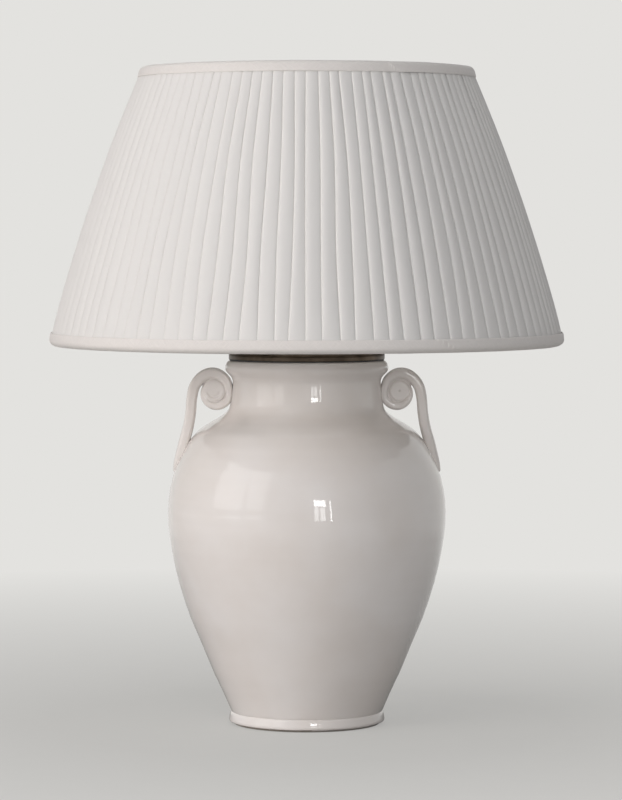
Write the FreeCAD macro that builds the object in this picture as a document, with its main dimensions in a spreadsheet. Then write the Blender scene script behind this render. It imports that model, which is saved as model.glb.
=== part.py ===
import FreeCAD, Part
import math
import os
import Sketcher
from FreeCAD import Placement, Rotation, Vector

# A table lamp: a glazed ceramic jar with two scroll handles, held by a tie rod between a nut under
# its floor and a metal cap on its rim, with a switched lampholder, a bulb, a shade carrier and a
# pleated linen shade. Millimetres, +Z up, the origin under the middle of the foot, front towards -Y.

# Driving sizes. Radii unless the name says otherwise; heights and levels run along Z.
SIZES = {
    # felt pad and jar
    "felt_thick": 1.5,
    "felt_inset": 1.2,
    "vase_height": 358.5,
    "foot_inner": 60.0,
    "foot_outer": 73.5,
    "foot_recess": 10.5,
    "strip_height": 1.5,
    "bead_height": 11.2,
    "bead_radius": 77.4,
    "waist_radius": 75.6,
    "belly_radius": 137.3,
    "ridge_drop": 71.5,
    "neck_radius": 73.0,
    "neck_drop": 26.1,
    "lip_root_radius": 76.0,
    "lip_root_drop": 12.2,
    "lip_radius": 80.8,
    "lip_drop": 6.5,
    "rim_outer": 74.6,
    "rim_inner": 69.5,
    "vase_wall": 6.5,
    "floor_thick": 7.0,
    "rod_hole": 5.5,
    "cable_hole": 5.0,
    # handles
    "scroll_reach": 89.3,
    "scroll_drop": 33.4,
    "roll_radius": 11.2,
    "roll_disc": 9.6,
    "roll_face": 6.4,
    "roll_groove": 0.9,
    "roll_eye": 0.9,
    "roll_eye_depth": 1.5,
    "strap_thick": 10.5,
    "strap_width": 16.0,
    "roll_extra": 0.5,
    "arch_rise": 20.9,
    "arch_bend": 19.5,
    "curl_bend": 14.6,
    "strap_turn_drop": 15.9,
    "strap_bend": 130.0,
    "tail_reach": 125.8,
    "tail_run": 67.6,
    "tail_bend": 60.0,
    "tail_drop": 19.0,
    "tail_sink": 2.8,
    # cable grommet
    "grommet_bore": 3.5,
    "cable_climb": 17.0,
    "grommet_flange": 7.5,
    "grommet_lip": 2.0,
    "grommet_barrel": 5.4,
    "grommet_tail": 4.6,
    "grommet_bite": 0.6,
    # tie rod and its fasteners
    "rod_radius": 5.0,
    "rod_bore": 3.5,
    "thread_gap": 0.05,
    "rod_tail": 1.0,
    "rod_head": 1.5,
    "rubber_washer_radius": 20.0,
    "rubber_washer_thick": 1.5,
    "washer_radius": 17.0,
    "washer_thick": 1.5,
    "nut_circle": 9.8,
    "nut_height": 6.0,
    "lock_nut_height": 3.0,
    # vase cap and the spindle above it
    "gasket_thick": 1.0,
    "gasket_inner": 68.0,
    "gasket_outer": 76.6,
    "cap_radius": 77.0,
    "cap_wall": 1.2,
    "cap_side": 7.0,
    "cap_corner": 4.0,
    "cap_rise": 10.0,
    "cap_table": 14.0,
    "spindle_height": 16.0,
    "spindle_foot": 12.5,
    "spindle_waist": 8.0,
    "spindle_head": 11.0,
    "spindle_fillet": 2.5,
    # lampholder
    "holder_radius": 20.0,
    "holder_wall": 1.0,
    "cup_floor": 1.5,
    "cup_foot": 11.5,
    "cup_shoulder": 9.0,
    "cup_height": 18.0,
    "switch_height": 18.0,
    "bar_radius": 3.0,
    "bar_length": 60.0,
    "bar_offset": 3.0,
    "bar_rise": 8.5,
    "bar_button": 4.0,
    "bar_button_length": 5.0,
    "bridge_radius": 4.2,
    "bridge_thick": 1.2,
    "running_gap": 0.08,
    "block_gap": 0.1,
    "block_depth": 5.0,
    "block_rim": 19.5,
    "block_rim_thick": 2.0,
    "block_boss": 14.6,
    "block_boss_height": 6.0,
    "terminal_radius": 2.8,
    "terminal_height": 3.6,
    "terminal_offset": 12.0,
    "shell_inner": 13.5,
    "shell_wall": 0.5,
    "shell_height": 23.0,
    "leaf_width": 6.0,
    "leaf_thick": 0.5,
    "leaf_length": 9.0,
    "leaf_rise": 2.6,
    "leaf_pad": 3.0,
    "leaf_ramp": 1.2,
    "skirt_flange": 22.5,
    "skirt_flange_thick": 2.0,
    "skirt_height": 36.0,
    "skirt_wall": 1.5,
    "skirt_lip": 16.0,
    "skirt_lip_thick": 1.0,
    # shade ring and carrier
    "seat_gap": 0.3,
    "shade_ring_outer": 24.2,
    "shade_ring_height": 8.0,
    "shade_ring_chamfer": 1.5,
    "plate_outer": 27.5,
    "plate_thick": 1.5,
    "carrier_wire": 2.0,
    "carrier_elbow": 46.0,
    "carrier_bend": 12.0,
    "carrier_height": 165.0,
    "duplex_radius": 50.0,
    "duplex_wire": 2.2,
    # bulb
    "pip_gap": 0.3,
    "pip_radius": 4.5,
    "pip_height": 1.2,
    "bead_glass_radius": 8.5,
    "bead_glass_height": 3.0,
    "bulb_cap_radius": 13.2,
    "bulb_cap_height": 22.0,
    "bulb_cap_wall": 0.4,
    "bulb_radius": 30.0,
    "bulb_length": 105.0,
    "bulb_neck": 12.6,
    "bulb_neck_rise": 5.0,
    "bulb_lap": 4.0,
    "bulb_flare": 16.2,
    "bulb_flare_drop": 28.0,
    "bulb_glass_wall": 0.8,
    "stem_top": 3.5,
    "stem_flare": 8.0,
    "stem_height": 36.0,
    "lead_spread": 11.0,
    "lead_rise": 22.0,
    "lead_bend": 1.5,
    "filament_wire": 0.7,
    # shade
    "shade_bottom_level": 374.0,
    "shade_height": 274.0,
    "shade_top_radius": 162.8,
    "shade_bottom_radius": 253.1,
    "shade_bow": 5.6,
    "pleat_depth": 1.8,
    "cover_thick": 0.6,
    "cover_gap": 0.2,
    "frame_wire": 1.6,
    "strut_wire": 1.3,
    "lining_thick": 0.8,
    "edge_inset": 1.2,
    "trim_thick": 0.8,
    "top_trim_height": 11.4,
    "bottom_trim_height": 14.5,
    "trim_inner_height": 8.0,
    "spider_inner": 45.0,
    "spider_plate_thick": 1.5,
    "spider_skirt_gap": 0.8,
    "spider_skirt_thick": 1.4,
    "spider_skirt_height": 5.0,
    "spider_wire": 1.4,
    "spider_run": 16.0,
    "spider_bend": 20.0,
    "cut_overrun": 10.0,
}

# Levels worked out from the driving sizes, each a formula of the same sheet.
LEVELS = {
    "ridge_height": "vase_height - ridge_drop",
    "neck_height": "vase_height - neck_drop",
    "lip_root_height": "vase_height - lip_root_drop",
    "lip_height": "vase_height - lip_drop",
    "scroll_height": "vase_height - scroll_drop",
    "strap_turn_height": "scroll_height - strap_turn_drop",
    "tail_height": "scroll_height - tail_run",
    "floor_under": "felt_thick + foot_recess",
    "washer_level": "floor_under - rubber_washer_thick - washer_thick",
    "nut_level": "washer_level - nut_height",
    "rod_level": "nut_level - rod_tail",
    "rim_level": "felt_thick + vase_height",
    "cap_level": "rim_level + gasket_thick",
    "spindle_level": "cap_level + cap_side + cap_rise",
    "holder_level": "spindle_level + spindle_height",
    "lock_nut_level": "holder_level + cup_floor",
    "rod_length": "lock_nut_level + lock_nut_height + rod_head - rod_level",
    "switch_level": "holder_level + cup_height",
    "bar_level": "switch_level + bar_rise",
    "block_level": "switch_level + switch_height",
    "boss_level": "block_level + block_rim_thick + block_boss_height",
    "plate_level": "block_level + skirt_flange_thick + seat_gap",
    "shade_ring_level": "plate_level + plate_thick + seat_gap",
    "duplex_level": "plate_level + carrier_height",
    "bulb_level": "boss_level + leaf_thick + leaf_rise + pip_gap",
    "glass_level": "bulb_level + pip_height + bead_glass_height + bulb_cap_height",
    "bulb_centre": "bulb_level + bulb_length - bulb_radius",
    "spider_level": "duplex_level + duplex_wire + seat_gap",
    "spider_outer": "duplex_radius + duplex_wire + spider_skirt_gap + spider_skirt_thick",
    "shade_top_level": "shade_bottom_level + shade_height",
    "fit_bore": "rod_radius + thread_gap",
    "glass_foot": "glass_level - bulb_lap",
    "frame_inset": "trim_thick + cover_gap + frame_wire",
    "frame_depth": "pleat_depth + cover_thick + cover_gap + frame_wire",
    "lining_depth": "frame_depth + frame_wire + cover_gap",
    "edge_share": "frame_inset / shade_height",
    "edge_growth": "(shade_bottom_radius - shade_top_radius) * edge_share",
    "edge_bow": "4 * shade_bow * edge_share * (1 - edge_share)",
    "bottom_ring_radius": "shade_bottom_radius - edge_growth + edge_bow - frame_depth",
    "top_ring_radius": "shade_top_radius + edge_growth + edge_bow - frame_depth",
}

# The jar's outline between the foot bead and the ridge: height and radius as shares of the rise to
# the ridge and of the growth from the waist to the belly.
BODY_SHARES = ((0.0, 0.0), (0.143, 0.289), (0.323, 0.624), (0.503, 0.880),
               (0.683, 1.0), (0.827, 0.937), (0.914, 0.784), (1.0, 0.537))
# The neck's outline above the ridge: shares of the rise to the neck and of the ridge's overhang.
NECK_SHARES = ((0.152, 0.756), (0.326, 0.378), (0.588, 0.112), (1.0, 0.0))
# One knife pleat round the shade: places along the pitch and depths below the fold.
PLEAT_SHARES = ((0.0, 0.0), (0.2, 0.05), (0.92, 1.0))
# Heights up the shade at which the pleated cover has a section.
SECTION_SHARES = (0.0, 0.5, 1.0)
# Places along a strut of the shade's frame at which it has a section.
STRUT_SHARES = (0.0, 0.25, 0.5, 0.75, 1.0)
# Where the bulb's globe meets its flare: across and down from the middle, as shares of its radius.
BULB_SHOULDER_SHARES = (0.819, 0.574)
# Half way round a quarter bend, as shares of its radius from the bend's middle and from its start.
DIAGONAL_SHARE = 0.7071
DIAGONAL_REST_SHARE = 0.2929
# The swell of the vase cap at the middle of its slope.
DOME_SHARE = 0.8

PLEATS = 100
STRUTS = 8
SPIDER_ARMS = 3
CARRIER_ARMS = 2
HEX_SIDES = 6
FULL_TURN = 360.0
HALF_TURN = 180.0
QUARTER_TURN = 90.0
FIRST_SPIDER_ARM = 90.0
FIRST_STRUT = 22.5
CLOSE = 1e-6

doc = FreeCAD.newDocument("table_lamp")
sheet = doc.addObject("Spreadsheet::Sheet", "Sizes")
for row, (alias, content) in enumerate([*SIZES.items(), *LEVELS.items()], start=1):
    sheet.set(f"A{row}", alias)
    sheet.set(f"B{row}", "=" + content if isinstance(content, str) else str(content))
    sheet.setAlias(f"B{row}", alias)
doc.recompute()

PIECES = []


def value(formula):
    """The number that a formula of the sheet's names gives."""
    return float(sheet.evalExpression(formula))


def bound(formula):
    """A formula of the sheet's names, as another object's expression writes it."""
    words = formula.replace("(", "( ").replace(")", " )").split()
    return " ".join("Sizes." + word if word[0].isalpha() else word for word in words)


def finished(label, piece, level=None):
    """Name a sub-part, put it at its level and count it among the pieces."""
    piece.Label = label
    if level:
        piece.setExpression(".Placement.Base.z", bound(level))
    PIECES.append(piece)
    return piece


def shaped(name, shape, level=None):
    """An object whose shape is made with Part's own functions."""
    piece = doc.addObject("Part::Feature", name)
    piece.Shape = shape
    piece.Placement = Placement()
    if level:
        piece.setExpression(".Placement.Base.z", bound(level))
    return piece


def primitive(kind, name, level=None, **formulas):
    """A Part primitive with its properties bound to the sheet."""
    piece = doc.addObject("Part::" + kind, name)
    for field, formula in formulas.items():
        piece.setExpression(field, bound(formula))
    if level:
        piece.setExpression(".Placement.Base.z", bound(level))
    return piece


def cut(name, base, blade):
    """The base with the blade's volume taken away."""
    piece = doc.addObject("Part::Cut", name)
    piece.Base, piece.Tool = base, blade
    return piece


def group(name, pieces, fused=True):
    """Several objects as one, fused or as separate solids."""
    piece = doc.addObject("Part::MultiFuse" if fused else "Part::Compound", name)
    if fused:
        piece.Shapes = pieces
    else:
        piece.Links = pieces
    return piece


def hold_point(sketch, edge, end, across, up):
    """Hold a sketch point at its distances from the axis and from the outline's foot."""
    for kind, axis, formula in (("DistanceX", -2, across), ("DistanceY", -1, up)):
        if formula == "0":
            sketch.addConstraint(Sketcher.Constraint("PointOnObject", edge, end, axis))
        else:
            size = Sketcher.Constraint(kind, -1, 1, edge, end, value(formula))
            sketch.setExpression(f"Constraints[{sketch.addConstraint(size)}]", bound(formula))


def turned(name, corners):
    """A body turned from a closed outline of (radius, height) formulas.

    A corner of four formulas is reached by an arc through the point of its first two.
    """
    body = doc.addObject("PartDesign::Body", name)
    sketch = body.newObject("Sketcher::SketchObject", name + "_outline")
    plane = [face for face in body.Origin.OriginFeatures if face.Role == "XZ_Plane"][0]
    sketch.AttachmentSupport = [(plane, "")]
    sketch.MapMode = "FlatFace"
    ends = [Vector(value(corner[-2]), value(corner[-1]), 0) for corner in corners]
    edges = []
    for start, end, corner in zip([ends[-1], *ends], ends, corners):
        if len(corner) == 4:
            middle = Vector(value(corner[0]), value(corner[1]), 0)
            edge = sketch.addGeometry(Part.Arc(start, middle, end))
            backwards = sketch.getPoint(edge, 1).distanceToPoint(end) < CLOSE
            edges.append((edge, 2, 1) if backwards else (edge, 1, 2))
            dot = sketch.addGeometry(Part.Point(middle), True)
            hold_point(sketch, dot, 1, corner[0], corner[1])
            sketch.addConstraint(Sketcher.Constraint("PointOnObject", dot, 1, edge))
        else:
            edges.append((sketch.addGeometry(Part.LineSegment(start, end)), 1, 2))
    for (edge, _, last), (following, first, _), corner in zip(edges, edges[1:] + edges[:1], corners):
        sketch.addConstraint(Sketcher.Constraint("Coincident", edge, last, following, first))
        hold_point(sketch, edge, last, corner[-2], corner[-1])
    spin = body.newObject("PartDesign::Revolution", name + "_turned")
    spin.Profile = sketch
    spin.ReferenceAxis = (sketch, ["V_Axis"])
    spin.Angle = FULL_TURN
    return body


def ring(name, inner, outer, height):
    """A turned ring with a square section."""
    return turned(name, [(inner, "0"), (outer, "0"), (outer, height), (inner, height)])


def spline(points):
    """A smooth curve through the points."""
    curve = Part.BSplineCurve()
    curve.interpolate(points)
    return curve.toShape()


def chain(points):
    """Straight edges from point to point."""
    return [Part.makeLine(start, end) for start, end in zip(points, points[1:])]


def arc(start, middle, end):
    """An arc through three points."""
    return Part.Arc(start, middle, end).toShape()


def lathe(edges):
    """A solid turned about Z from a closed outline in the XZ plane."""
    return Part.Face(Part.Wire(edges)).revolve(Vector(), Vector(0, 0, 1), FULL_TURN)


def rounded_path(corners):
    """Straight runs joined by tangent arcs, from (point, bend radius) corners."""
    edges, start = [], corners[0][0]
    for (before, _), (corner, bend), (after, _) in zip(corners, corners[1:], corners[2:]):
        back, ahead = (before - corner).normalize(), (after - corner).normalize()
        half = back.getAngle(ahead) / 2
        enter = corner + back * (bend / math.tan(half))
        leave = corner + ahead * (bend / math.tan(half))
        middle = corner + (back + ahead).normalize() * (bend / math.sin(half) - bend)
        if enter.distanceToPoint(start) > CLOSE:
            edges.append(Part.makeLine(start, enter))
        edges.append(arc(enter, middle, leave))
        start = leave
    edges.append(Part.makeLine(start, corners[-1][0]))
    return Part.Wire(edges)


def closed_solid(faces):
    """The solid inside faces that meet edge to edge."""
    shell = Part.makeShell(faces)
    shell.sewShape()
    solid = Part.Solid(shell.Shells[0])
    if solid.Volume < 0:
        solid.reverse()
    return solid


def wire_rod(path, radius):
    """A round rod along a path in the XZ plane: cylinders, and bends of a circle turned."""
    faces, loops = [], []
    for edge in path.Edges:
        first, last = edge.FirstParameter, edge.LastParameter
        for spot in (first, last):
            loop = Part.Circle(edge.valueAt(spot), edge.tangentAt(spot), radius)
            loop.XAxis = Vector(0, 1, 0)
            loops.append(loop.toShape())
        if isinstance(edge.Curve, Part.Line):
            faces.append(loops[-2].extrude(edge.valueAt(last) - edge.valueAt(first)))
        else:
            swing = math.degrees(last - first)
            faces.append(loops[-2].revolve(edge.Curve.Center, edge.Curve.Axis, swing))
    ends = [Part.Face(Part.Wire(loop)) for loop in (loops[0], loops[-1])]
    return closed_solid(faces + ends)


def bowed_rod(points, radius):
    """A round rod through points that lie on a gentle bow in the XZ plane."""
    loops = []
    for before, point, after in zip([points[0], *points], points, [*points[1:], points[-1]]):
        loop = Part.Circle(point, (after - before).normalize(), radius)
        loop.XAxis = Vector(0, 1, 0)
        loops.append(Part.Wire(loop.toShape()))
    return Part.makeLoft(loops, True, False)


def spaced(shape, count, first=0.0):
    """Copies of a shape set evenly about the axis."""
    copies = []
    for step in range(count):
        copy = shape.copy()
        copy.rotate(Vector(), Vector(0, 0, 1), first + FULL_TURN * step / count)
        copies.append(copy)
    return Part.makeCompound(copies)


# The jar

def jar_points():
    """The outline's points from the foot bead up to the ridge."""
    foot = value("strip_height + bead_height")
    rise = value("ridge_height") - foot
    waist, growth = value("waist_radius"), value("belly_radius - waist_radius")
    return [Vector(waist + growth * wide, 0, foot + rise * high) for high, wide in BODY_SHARES]


def neck_points():
    """The outline's points from the ridge up to the root of the lip."""
    ridge = jar_points()[-1]
    rise, overhang = value("neck_height") - ridge.z, ridge.x - value("neck_radius")
    points = [Vector(value("neck_radius") + overhang * wide, 0, ridge.z + rise * high)
              for high, wide in NECK_SHARES]
    return [ridge, *points, Vector(value("lip_root_radius"), 0, value("lip_root_height"))]


def jar_outline():
    """The outer edges from the foot's bottom corner to the top of the rim."""
    foot = Vector(value("foot_outer"), 0, 0)
    strip = Vector(value("foot_outer"), 0, value("strip_height"))
    bead = Vector(value("bead_radius"), 0, value("strip_height + bead_height / 2"))
    lip = Vector(value("lip_radius"), 0, value("lip_height"))
    rim = Vector(value("rim_outer"), 0, value("vase_height"))
    body, neck = jar_points(), neck_points()
    return [Part.makeLine(foot, strip), arc(strip, bead, body[0]), spline(body),
            spline(neck), arc(neck[-1], lip, rim)]


def inner_points():
    """The cavity's points: the outer ones moved in by the wall, from the floor up."""
    outer = jar_points() + neck_points()[1:]
    wall = value("vase_wall")
    moved = []
    for before, point, after in zip(outer, outer[1:], outer[2:] + outer[-1:]):
        run = (after - before).normalize()
        moved.append(point + Vector(-run.z, 0, run.x) * wall)
    return [Vector(outer[0].x - wall, 0, value("foot_recess + floor_thick")), *moved]


def cable_seat():
    """The place and outward direction of the cable hole, at the back near the foot."""
    low, high = jar_points()[:2]
    slope = (high - low).normalize()
    seat = low + slope * value("cable_climb")
    back = Rotation(Vector(0, 0, 1), QUARTER_TURN)
    seat, out = back.multVec(seat), back.multVec(Vector(slope.z, 0, -slope.x))
    return Placement(seat + Vector(0, 0, value("felt_thick")), Rotation(Vector(0, 0, 1), out))


def make_jar():
    """The felt pad, the jar and its filled form, which cuts what is luted on."""
    finished("felt_pad", ring("felt_ring", "foot_inner + felt_inset", "foot_outer - felt_inset",
                              "felt_thick"))
    outline, inner = jar_outline(), inner_points()
    rim = Vector(value("rim_outer"), 0, value("vase_height"))
    mouth = Vector(value("rim_inner"), 0, value("vase_height"))
    floor = Vector(0, 0, inner[0].z)
    recess = [Vector(0, 0, value("foot_recess")),
              Vector(value("foot_inner"), 0, value("foot_recess")),
              Vector(value("foot_inner"), 0, 0), Vector(value("foot_outer"), 0, 0)]
    shell = lathe(outline + chain([rim, mouth, inner[-1]]) + [spline(inner[::-1])]
                  + chain([inner[0], floor, *recess]))
    core = lathe(outline + chain([rim, Vector(0, 0, rim.z), Vector(), recess[-1]]))
    filled = shaped("jar_filled", core, "felt_thick")
    rod_hole = primitive("Cylinder", "jar_rod_hole", "floor_under - cut_overrun",
                         Radius="rod_hole", Height="floor_thick + 2 * cut_overrun")
    cable_hole = primitive("Cylinder", "jar_cable_hole", Radius="cable_hole",
                           Height="vase_wall + 2 * cut_overrun")
    seat = cable_seat()
    through = seat.Rotation.multVec(Vector(0, 0, value("vase_wall + cut_overrun")))
    cable_hole.Placement = Placement(seat.Base - through, seat.Rotation)
    drilled = cut("jar_drilled", shaped("jar_shell", shell, "felt_thick"), rod_hole)
    jar = finished("vase_body", cut("jar", drilled, cable_hole))

    grommet = turned("grommet_blank", [
        ("grommet_bore", "0"), ("grommet_flange", "0"),
        ("grommet_flange", "grommet_tail"), ("cable_hole - thread_gap", "grommet_tail"),
        ("cable_hole - thread_gap", "grommet_tail + grommet_barrel"),
        ("grommet_flange", "grommet_tail + grommet_barrel"),
        ("grommet_flange", "grommet_tail + grommet_barrel + grommet_lip"),
        ("grommet_bore", "grommet_tail + grommet_barrel + grommet_lip")])
    depth = value("grommet_tail + grommet_barrel + grommet_bite")
    grommet.Placement = Placement(seat.Base - seat.Rotation.multVec(Vector(0, 0, depth)),
                                  seat.Rotation)
    finished("cable_grommet", cut("grommet", grommet, jar))
    return filled


def handle_shape():
    """One handle in the XZ plane: a strap that arches over and rolls up against the neck."""
    reach, height = value("scroll_reach"), value("scroll_height")
    curl = reach - value("roll_radius") + value("roll_extra")
    strap = curl + value("curl_bend + arch_bend")
    top = height + value("arch_rise")
    tail = value("tail_height")
    corners = [
        (Vector(value("tail_reach - tail_sink"), 0, tail - value("tail_drop")), 0),
        (Vector(value("tail_reach"), 0, tail), value("tail_bend")),
        (Vector(strap, 0, value("strap_turn_height")), value("strap_bend")),
        (Vector(strap, 0, top), value("arch_bend")),
        (Vector(curl, 0, top), value("curl_bend")),
        (Vector(curl, 0, height), 0)]
    path = rounded_path(corners)
    section = Part.Ellipse(Vector(), value("strap_width") / 2, value("strap_thick") / 2).toShape()
    run = (corners[1][0] - corners[0][0]).normalize()
    across = Rotation(Vector(0, 1, 0), Vector(-run.z, 0, run.x), run, "XYZ")
    section.Placement = Placement(corners[0][0], across)
    strap_solid = path.makePipeShell([Part.Wire(section)], True, False)

    outer = value("roll_radius + strap_thick / 2")
    crest = value("strap_width / 2 + roll_extra")
    face, disc = value("roll_face"), value("roll_disc")
    eye, groove = value("roll_eye"), face - value("roll_groove")
    waist = (outer + disc) / 2
    half = [Vector(0, 0, face - value("roll_eye_depth")), Vector(eye, 0, face),
            Vector(disc - eye, 0, face), Vector(disc, 0, groove)]
    top_arc = (Vector(disc, 0, groove), Vector(waist, 0, crest), Vector(outer, 0, 0))
    below = [Vector(point.x, 0, -point.z) for point in half]
    low_arc = [Vector(point.x, 0, -point.z) for point in top_arc]
    outline = (chain(half) + [arc(*top_arc), arc(*reversed(low_arc))]
               + chain(below[::-1]) + chain([below[0], half[0]]))
    roll = lathe(outline)
    roll.Placement = Placement(Vector(reach, 0, height), Rotation(Vector(1, 0, 0), QUARTER_TURN))
    return strap_solid.fuse(roll).removeSplitter()


def make_handles(filled):
    """Both handles, each cut to sit on the jar's surface."""
    for side, turn in (("right", 0), ("left", HALF_TURN)):
        blank = shaped(f"{side}_strap_and_roll", handle_shape(), "felt_thick")
        blank.Placement.Rotation = Rotation(Vector(0, 0, 1), turn)
        finished(f"handle_{side}", cut(f"{side}_handle", blank, filled))


# The tie rod and what it clamps

def hex_nut(label, height, level):
    """A hexagon nut on the tie rod."""
    blank = primitive("Prism", label + "_blank", level, Circumradius="nut_circle", Height=height)
    blank.Polygon = HEX_SIDES
    bore = primitive("Cylinder", label + "_bore", level + " - cut_overrun",
                     Radius="fit_bore", Height=height + " + 2 * cut_overrun")
    finished(label, cut(label + "_nut", blank, bore))


def make_rod():
    """The threaded tube, the fasteners under the floor, and the cap and spindle on the rim."""
    finished("tie_rod", ring("rod_tube", "rod_bore", "rod_radius", "rod_length"), "rod_level")
    finished("base_rubber_washer",
             ring("rubber_ring", "fit_bore", "rubber_washer_radius", "rubber_washer_thick"),
             "floor_under - rubber_washer_thick")
    finished("base_washer", ring("steel_ring", "fit_bore", "washer_radius", "washer_thick"),
             "washer_level")
    hex_nut("base_nut", "nut_height", "nut_level")
    finished("cap_gasket", ring("gasket_ring", "gasket_inner", "gasket_outer", "gasket_thick"),
             "rim_level")
    knee, hem = "cap_radius - cap_corner", "cap_side - cap_corner"
    bend = f"{DIAGONAL_SHARE} * cap_corner"
    thin_bend = f"{DIAGONAL_SHARE} * ( cap_corner - cap_wall )"
    middle, swell = "( cap_radius + cap_table ) / 2", f"cap_side + {DOME_SHARE} * cap_rise"
    table = "cap_side + cap_rise"
    cap = turned("cap_spun", [
        ("cap_radius - cap_wall", "0"), ("cap_radius", "0"), ("cap_radius", hem),
        (f"{knee} + {bend}", f"{hem} + {bend}", knee, "cap_side"),
        (middle, swell, "cap_table", table), ("fit_bore", table),
        ("fit_bore", f"{table} - cap_wall"), ("cap_table", f"{table} - cap_wall"),
        (middle, f"{swell} - cap_wall", knee, "cap_side - cap_wall"),
        (f"{knee} + {thin_bend}", f"{hem} + {thin_bend}", "cap_radius - cap_wall", hem)])
    finished("vase_cap", cap, "cap_level")
    spindle = turned("spindle_turned", [
        ("fit_bore", "0"), ("spindle_foot", "0"), ("spindle_foot", "spindle_fillet"),
        ("spindle_waist", "spindle_height / 2", "spindle_head", "spindle_height - spindle_fillet"),
        ("spindle_head", "spindle_height"), ("fit_bore", "spindle_height")])
    finished("neck_spindle", spindle, "spindle_level")


# The lampholder

def make_holder():
    """The holder's shells, its porcelain block, its contacts and its push-through switch."""
    wide, thin = "holder_radius", "holder_radius - holder_wall"
    cup = turned("cup_spun", [
        ("fit_bore", "0"), ("cup_foot", "0"),
        (f"cup_foot + {DIAGONAL_SHARE} * ( {wide} - cup_foot )",
         f"{DIAGONAL_REST_SHARE} * cup_shoulder", wide, "cup_shoulder"),
        (wide, "cup_height"), (thin, "cup_height"), (thin, "cup_shoulder"),
        (f"cup_foot - holder_wall + {DIAGONAL_SHARE} * ( {wide} - cup_foot )",
         f"cup_floor + {DIAGONAL_REST_SHARE} * ( cup_shoulder - cup_floor )",
         "cup_foot - holder_wall", "cup_floor"),
        ("fit_bore", "cup_floor")])
    finished("holder_base_cup", cup, "holder_level")
    hex_nut("holder_lock_nut", "lock_nut_height", "lock_nut_level")

    sideways = Rotation(Vector(0, 1, 0), QUARTER_TURN)
    sleeve = ring("switch_sleeve", thin, wide, "switch_height")
    sleeve.setExpression(".Placement.Base.z", bound("switch_level"))
    slot = primitive("Cylinder", "bar_slot", "bar_level", Radius="bar_radius + running_gap",
                     Height="2 * ( holder_radius + cut_overrun )")
    slot.Placement.Rotation = sideways
    slot.setExpression(".Placement.Base.x", bound("0 - holder_radius - cut_overrun"))
    finished("switch_body", cut("switch_shell", sleeve, slot))

    rods = []
    button = "bar_length / 2 - bar_button_length"
    for name, radius, start, length in (
            ("bar_rod", "bar_radius", "bar_length / 2", "bar_length"),
            ("bar_left_button", "bar_button", "bar_length / 2", "bar_button_length"),
            ("bar_right_button", "bar_button", f"0 - ( {button} )", "bar_button_length"),
            ("bridge_blank", "bridge_radius", "bridge_thick / 2", "bridge_thick")):
        rod = primitive("Cylinder", name, "bar_level", Radius=radius, Height=length)
        rod.Placement.Rotation = sideways
        rod.setExpression(".Placement.Base.x", bound(f"0 - bar_offset - ( {start} )"))
        rods.append(rod)
    finished("switch_bar", group("bar", rods[:3]))
    finished("switch_bridge", cut("bridge", rods[3], rods[0]))

    block = turned("block_pressed", [
        ("0", "0"), (f"{thin} - block_gap", "0"), (f"{thin} - block_gap", "block_depth"),
        ("block_rim", "block_depth"), ("block_rim", "block_depth + block_rim_thick"),
        ("block_boss", "block_depth + block_rim_thick"),
        ("block_boss", "block_depth + block_rim_thick + block_boss_height"),
        ("0", "block_depth + block_rim_thick + block_boss_height")])
    finished("holder_block", block, "block_level - block_depth")
    screws = []
    for name, side in (("front_screw", "0 - terminal_offset"), ("back_screw", "terminal_offset")):
        screw = primitive("Cylinder", name, "block_level - block_depth - terminal_height",
                          Radius="terminal_radius", Height="terminal_height")
        screw.setExpression(".Placement.Base.y", bound(side))
        screws.append(screw)
    finished("terminal_screws", group("screws", screws, fused=False))

    long, pad, thick = value("leaf_length"), value("leaf_pad"), value("leaf_thick")
    rise, ramp, half = value("leaf_rise"), value("leaf_ramp"), value("leaf_width / 2")
    low = [(-long, 0), (-pad - ramp, 0), (-pad, rise), (pad, rise)]
    bent = low + [(across, up + thick) for across, up in reversed(low)]
    points = [Vector(across, -half, up) for across, up in bent]
    leaf = Part.Face(Part.makePolygon([*points, points[0]])).extrude(Vector(0, 2 * half, 0))
    finished("centre_contact", shaped("leaf", leaf), "boss_level")
    finished("screw_shell",
             ring("shell_rolled", "shell_inner", "shell_inner + shell_wall", "shell_height"),
             "boss_level")
    inside = "holder_radius - skirt_wall"
    skirt = turned("skirt_turned", [
        ("block_rim + block_gap", "0"), ("skirt_flange", "0"),
        ("skirt_flange", "skirt_flange_thick"), (wide, "skirt_flange_thick"),
        (wide, "skirt_height"), ("skirt_lip", "skirt_height"),
        ("skirt_lip", "skirt_height - skirt_lip_thick"),
        (inside, "skirt_height - skirt_lip_thick"), (inside, "block_rim_thick"),
        ("block_rim + block_gap", "block_rim_thick")])
    finished("holder_skirt", skirt, "block_level")


# The shade carrier

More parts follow.
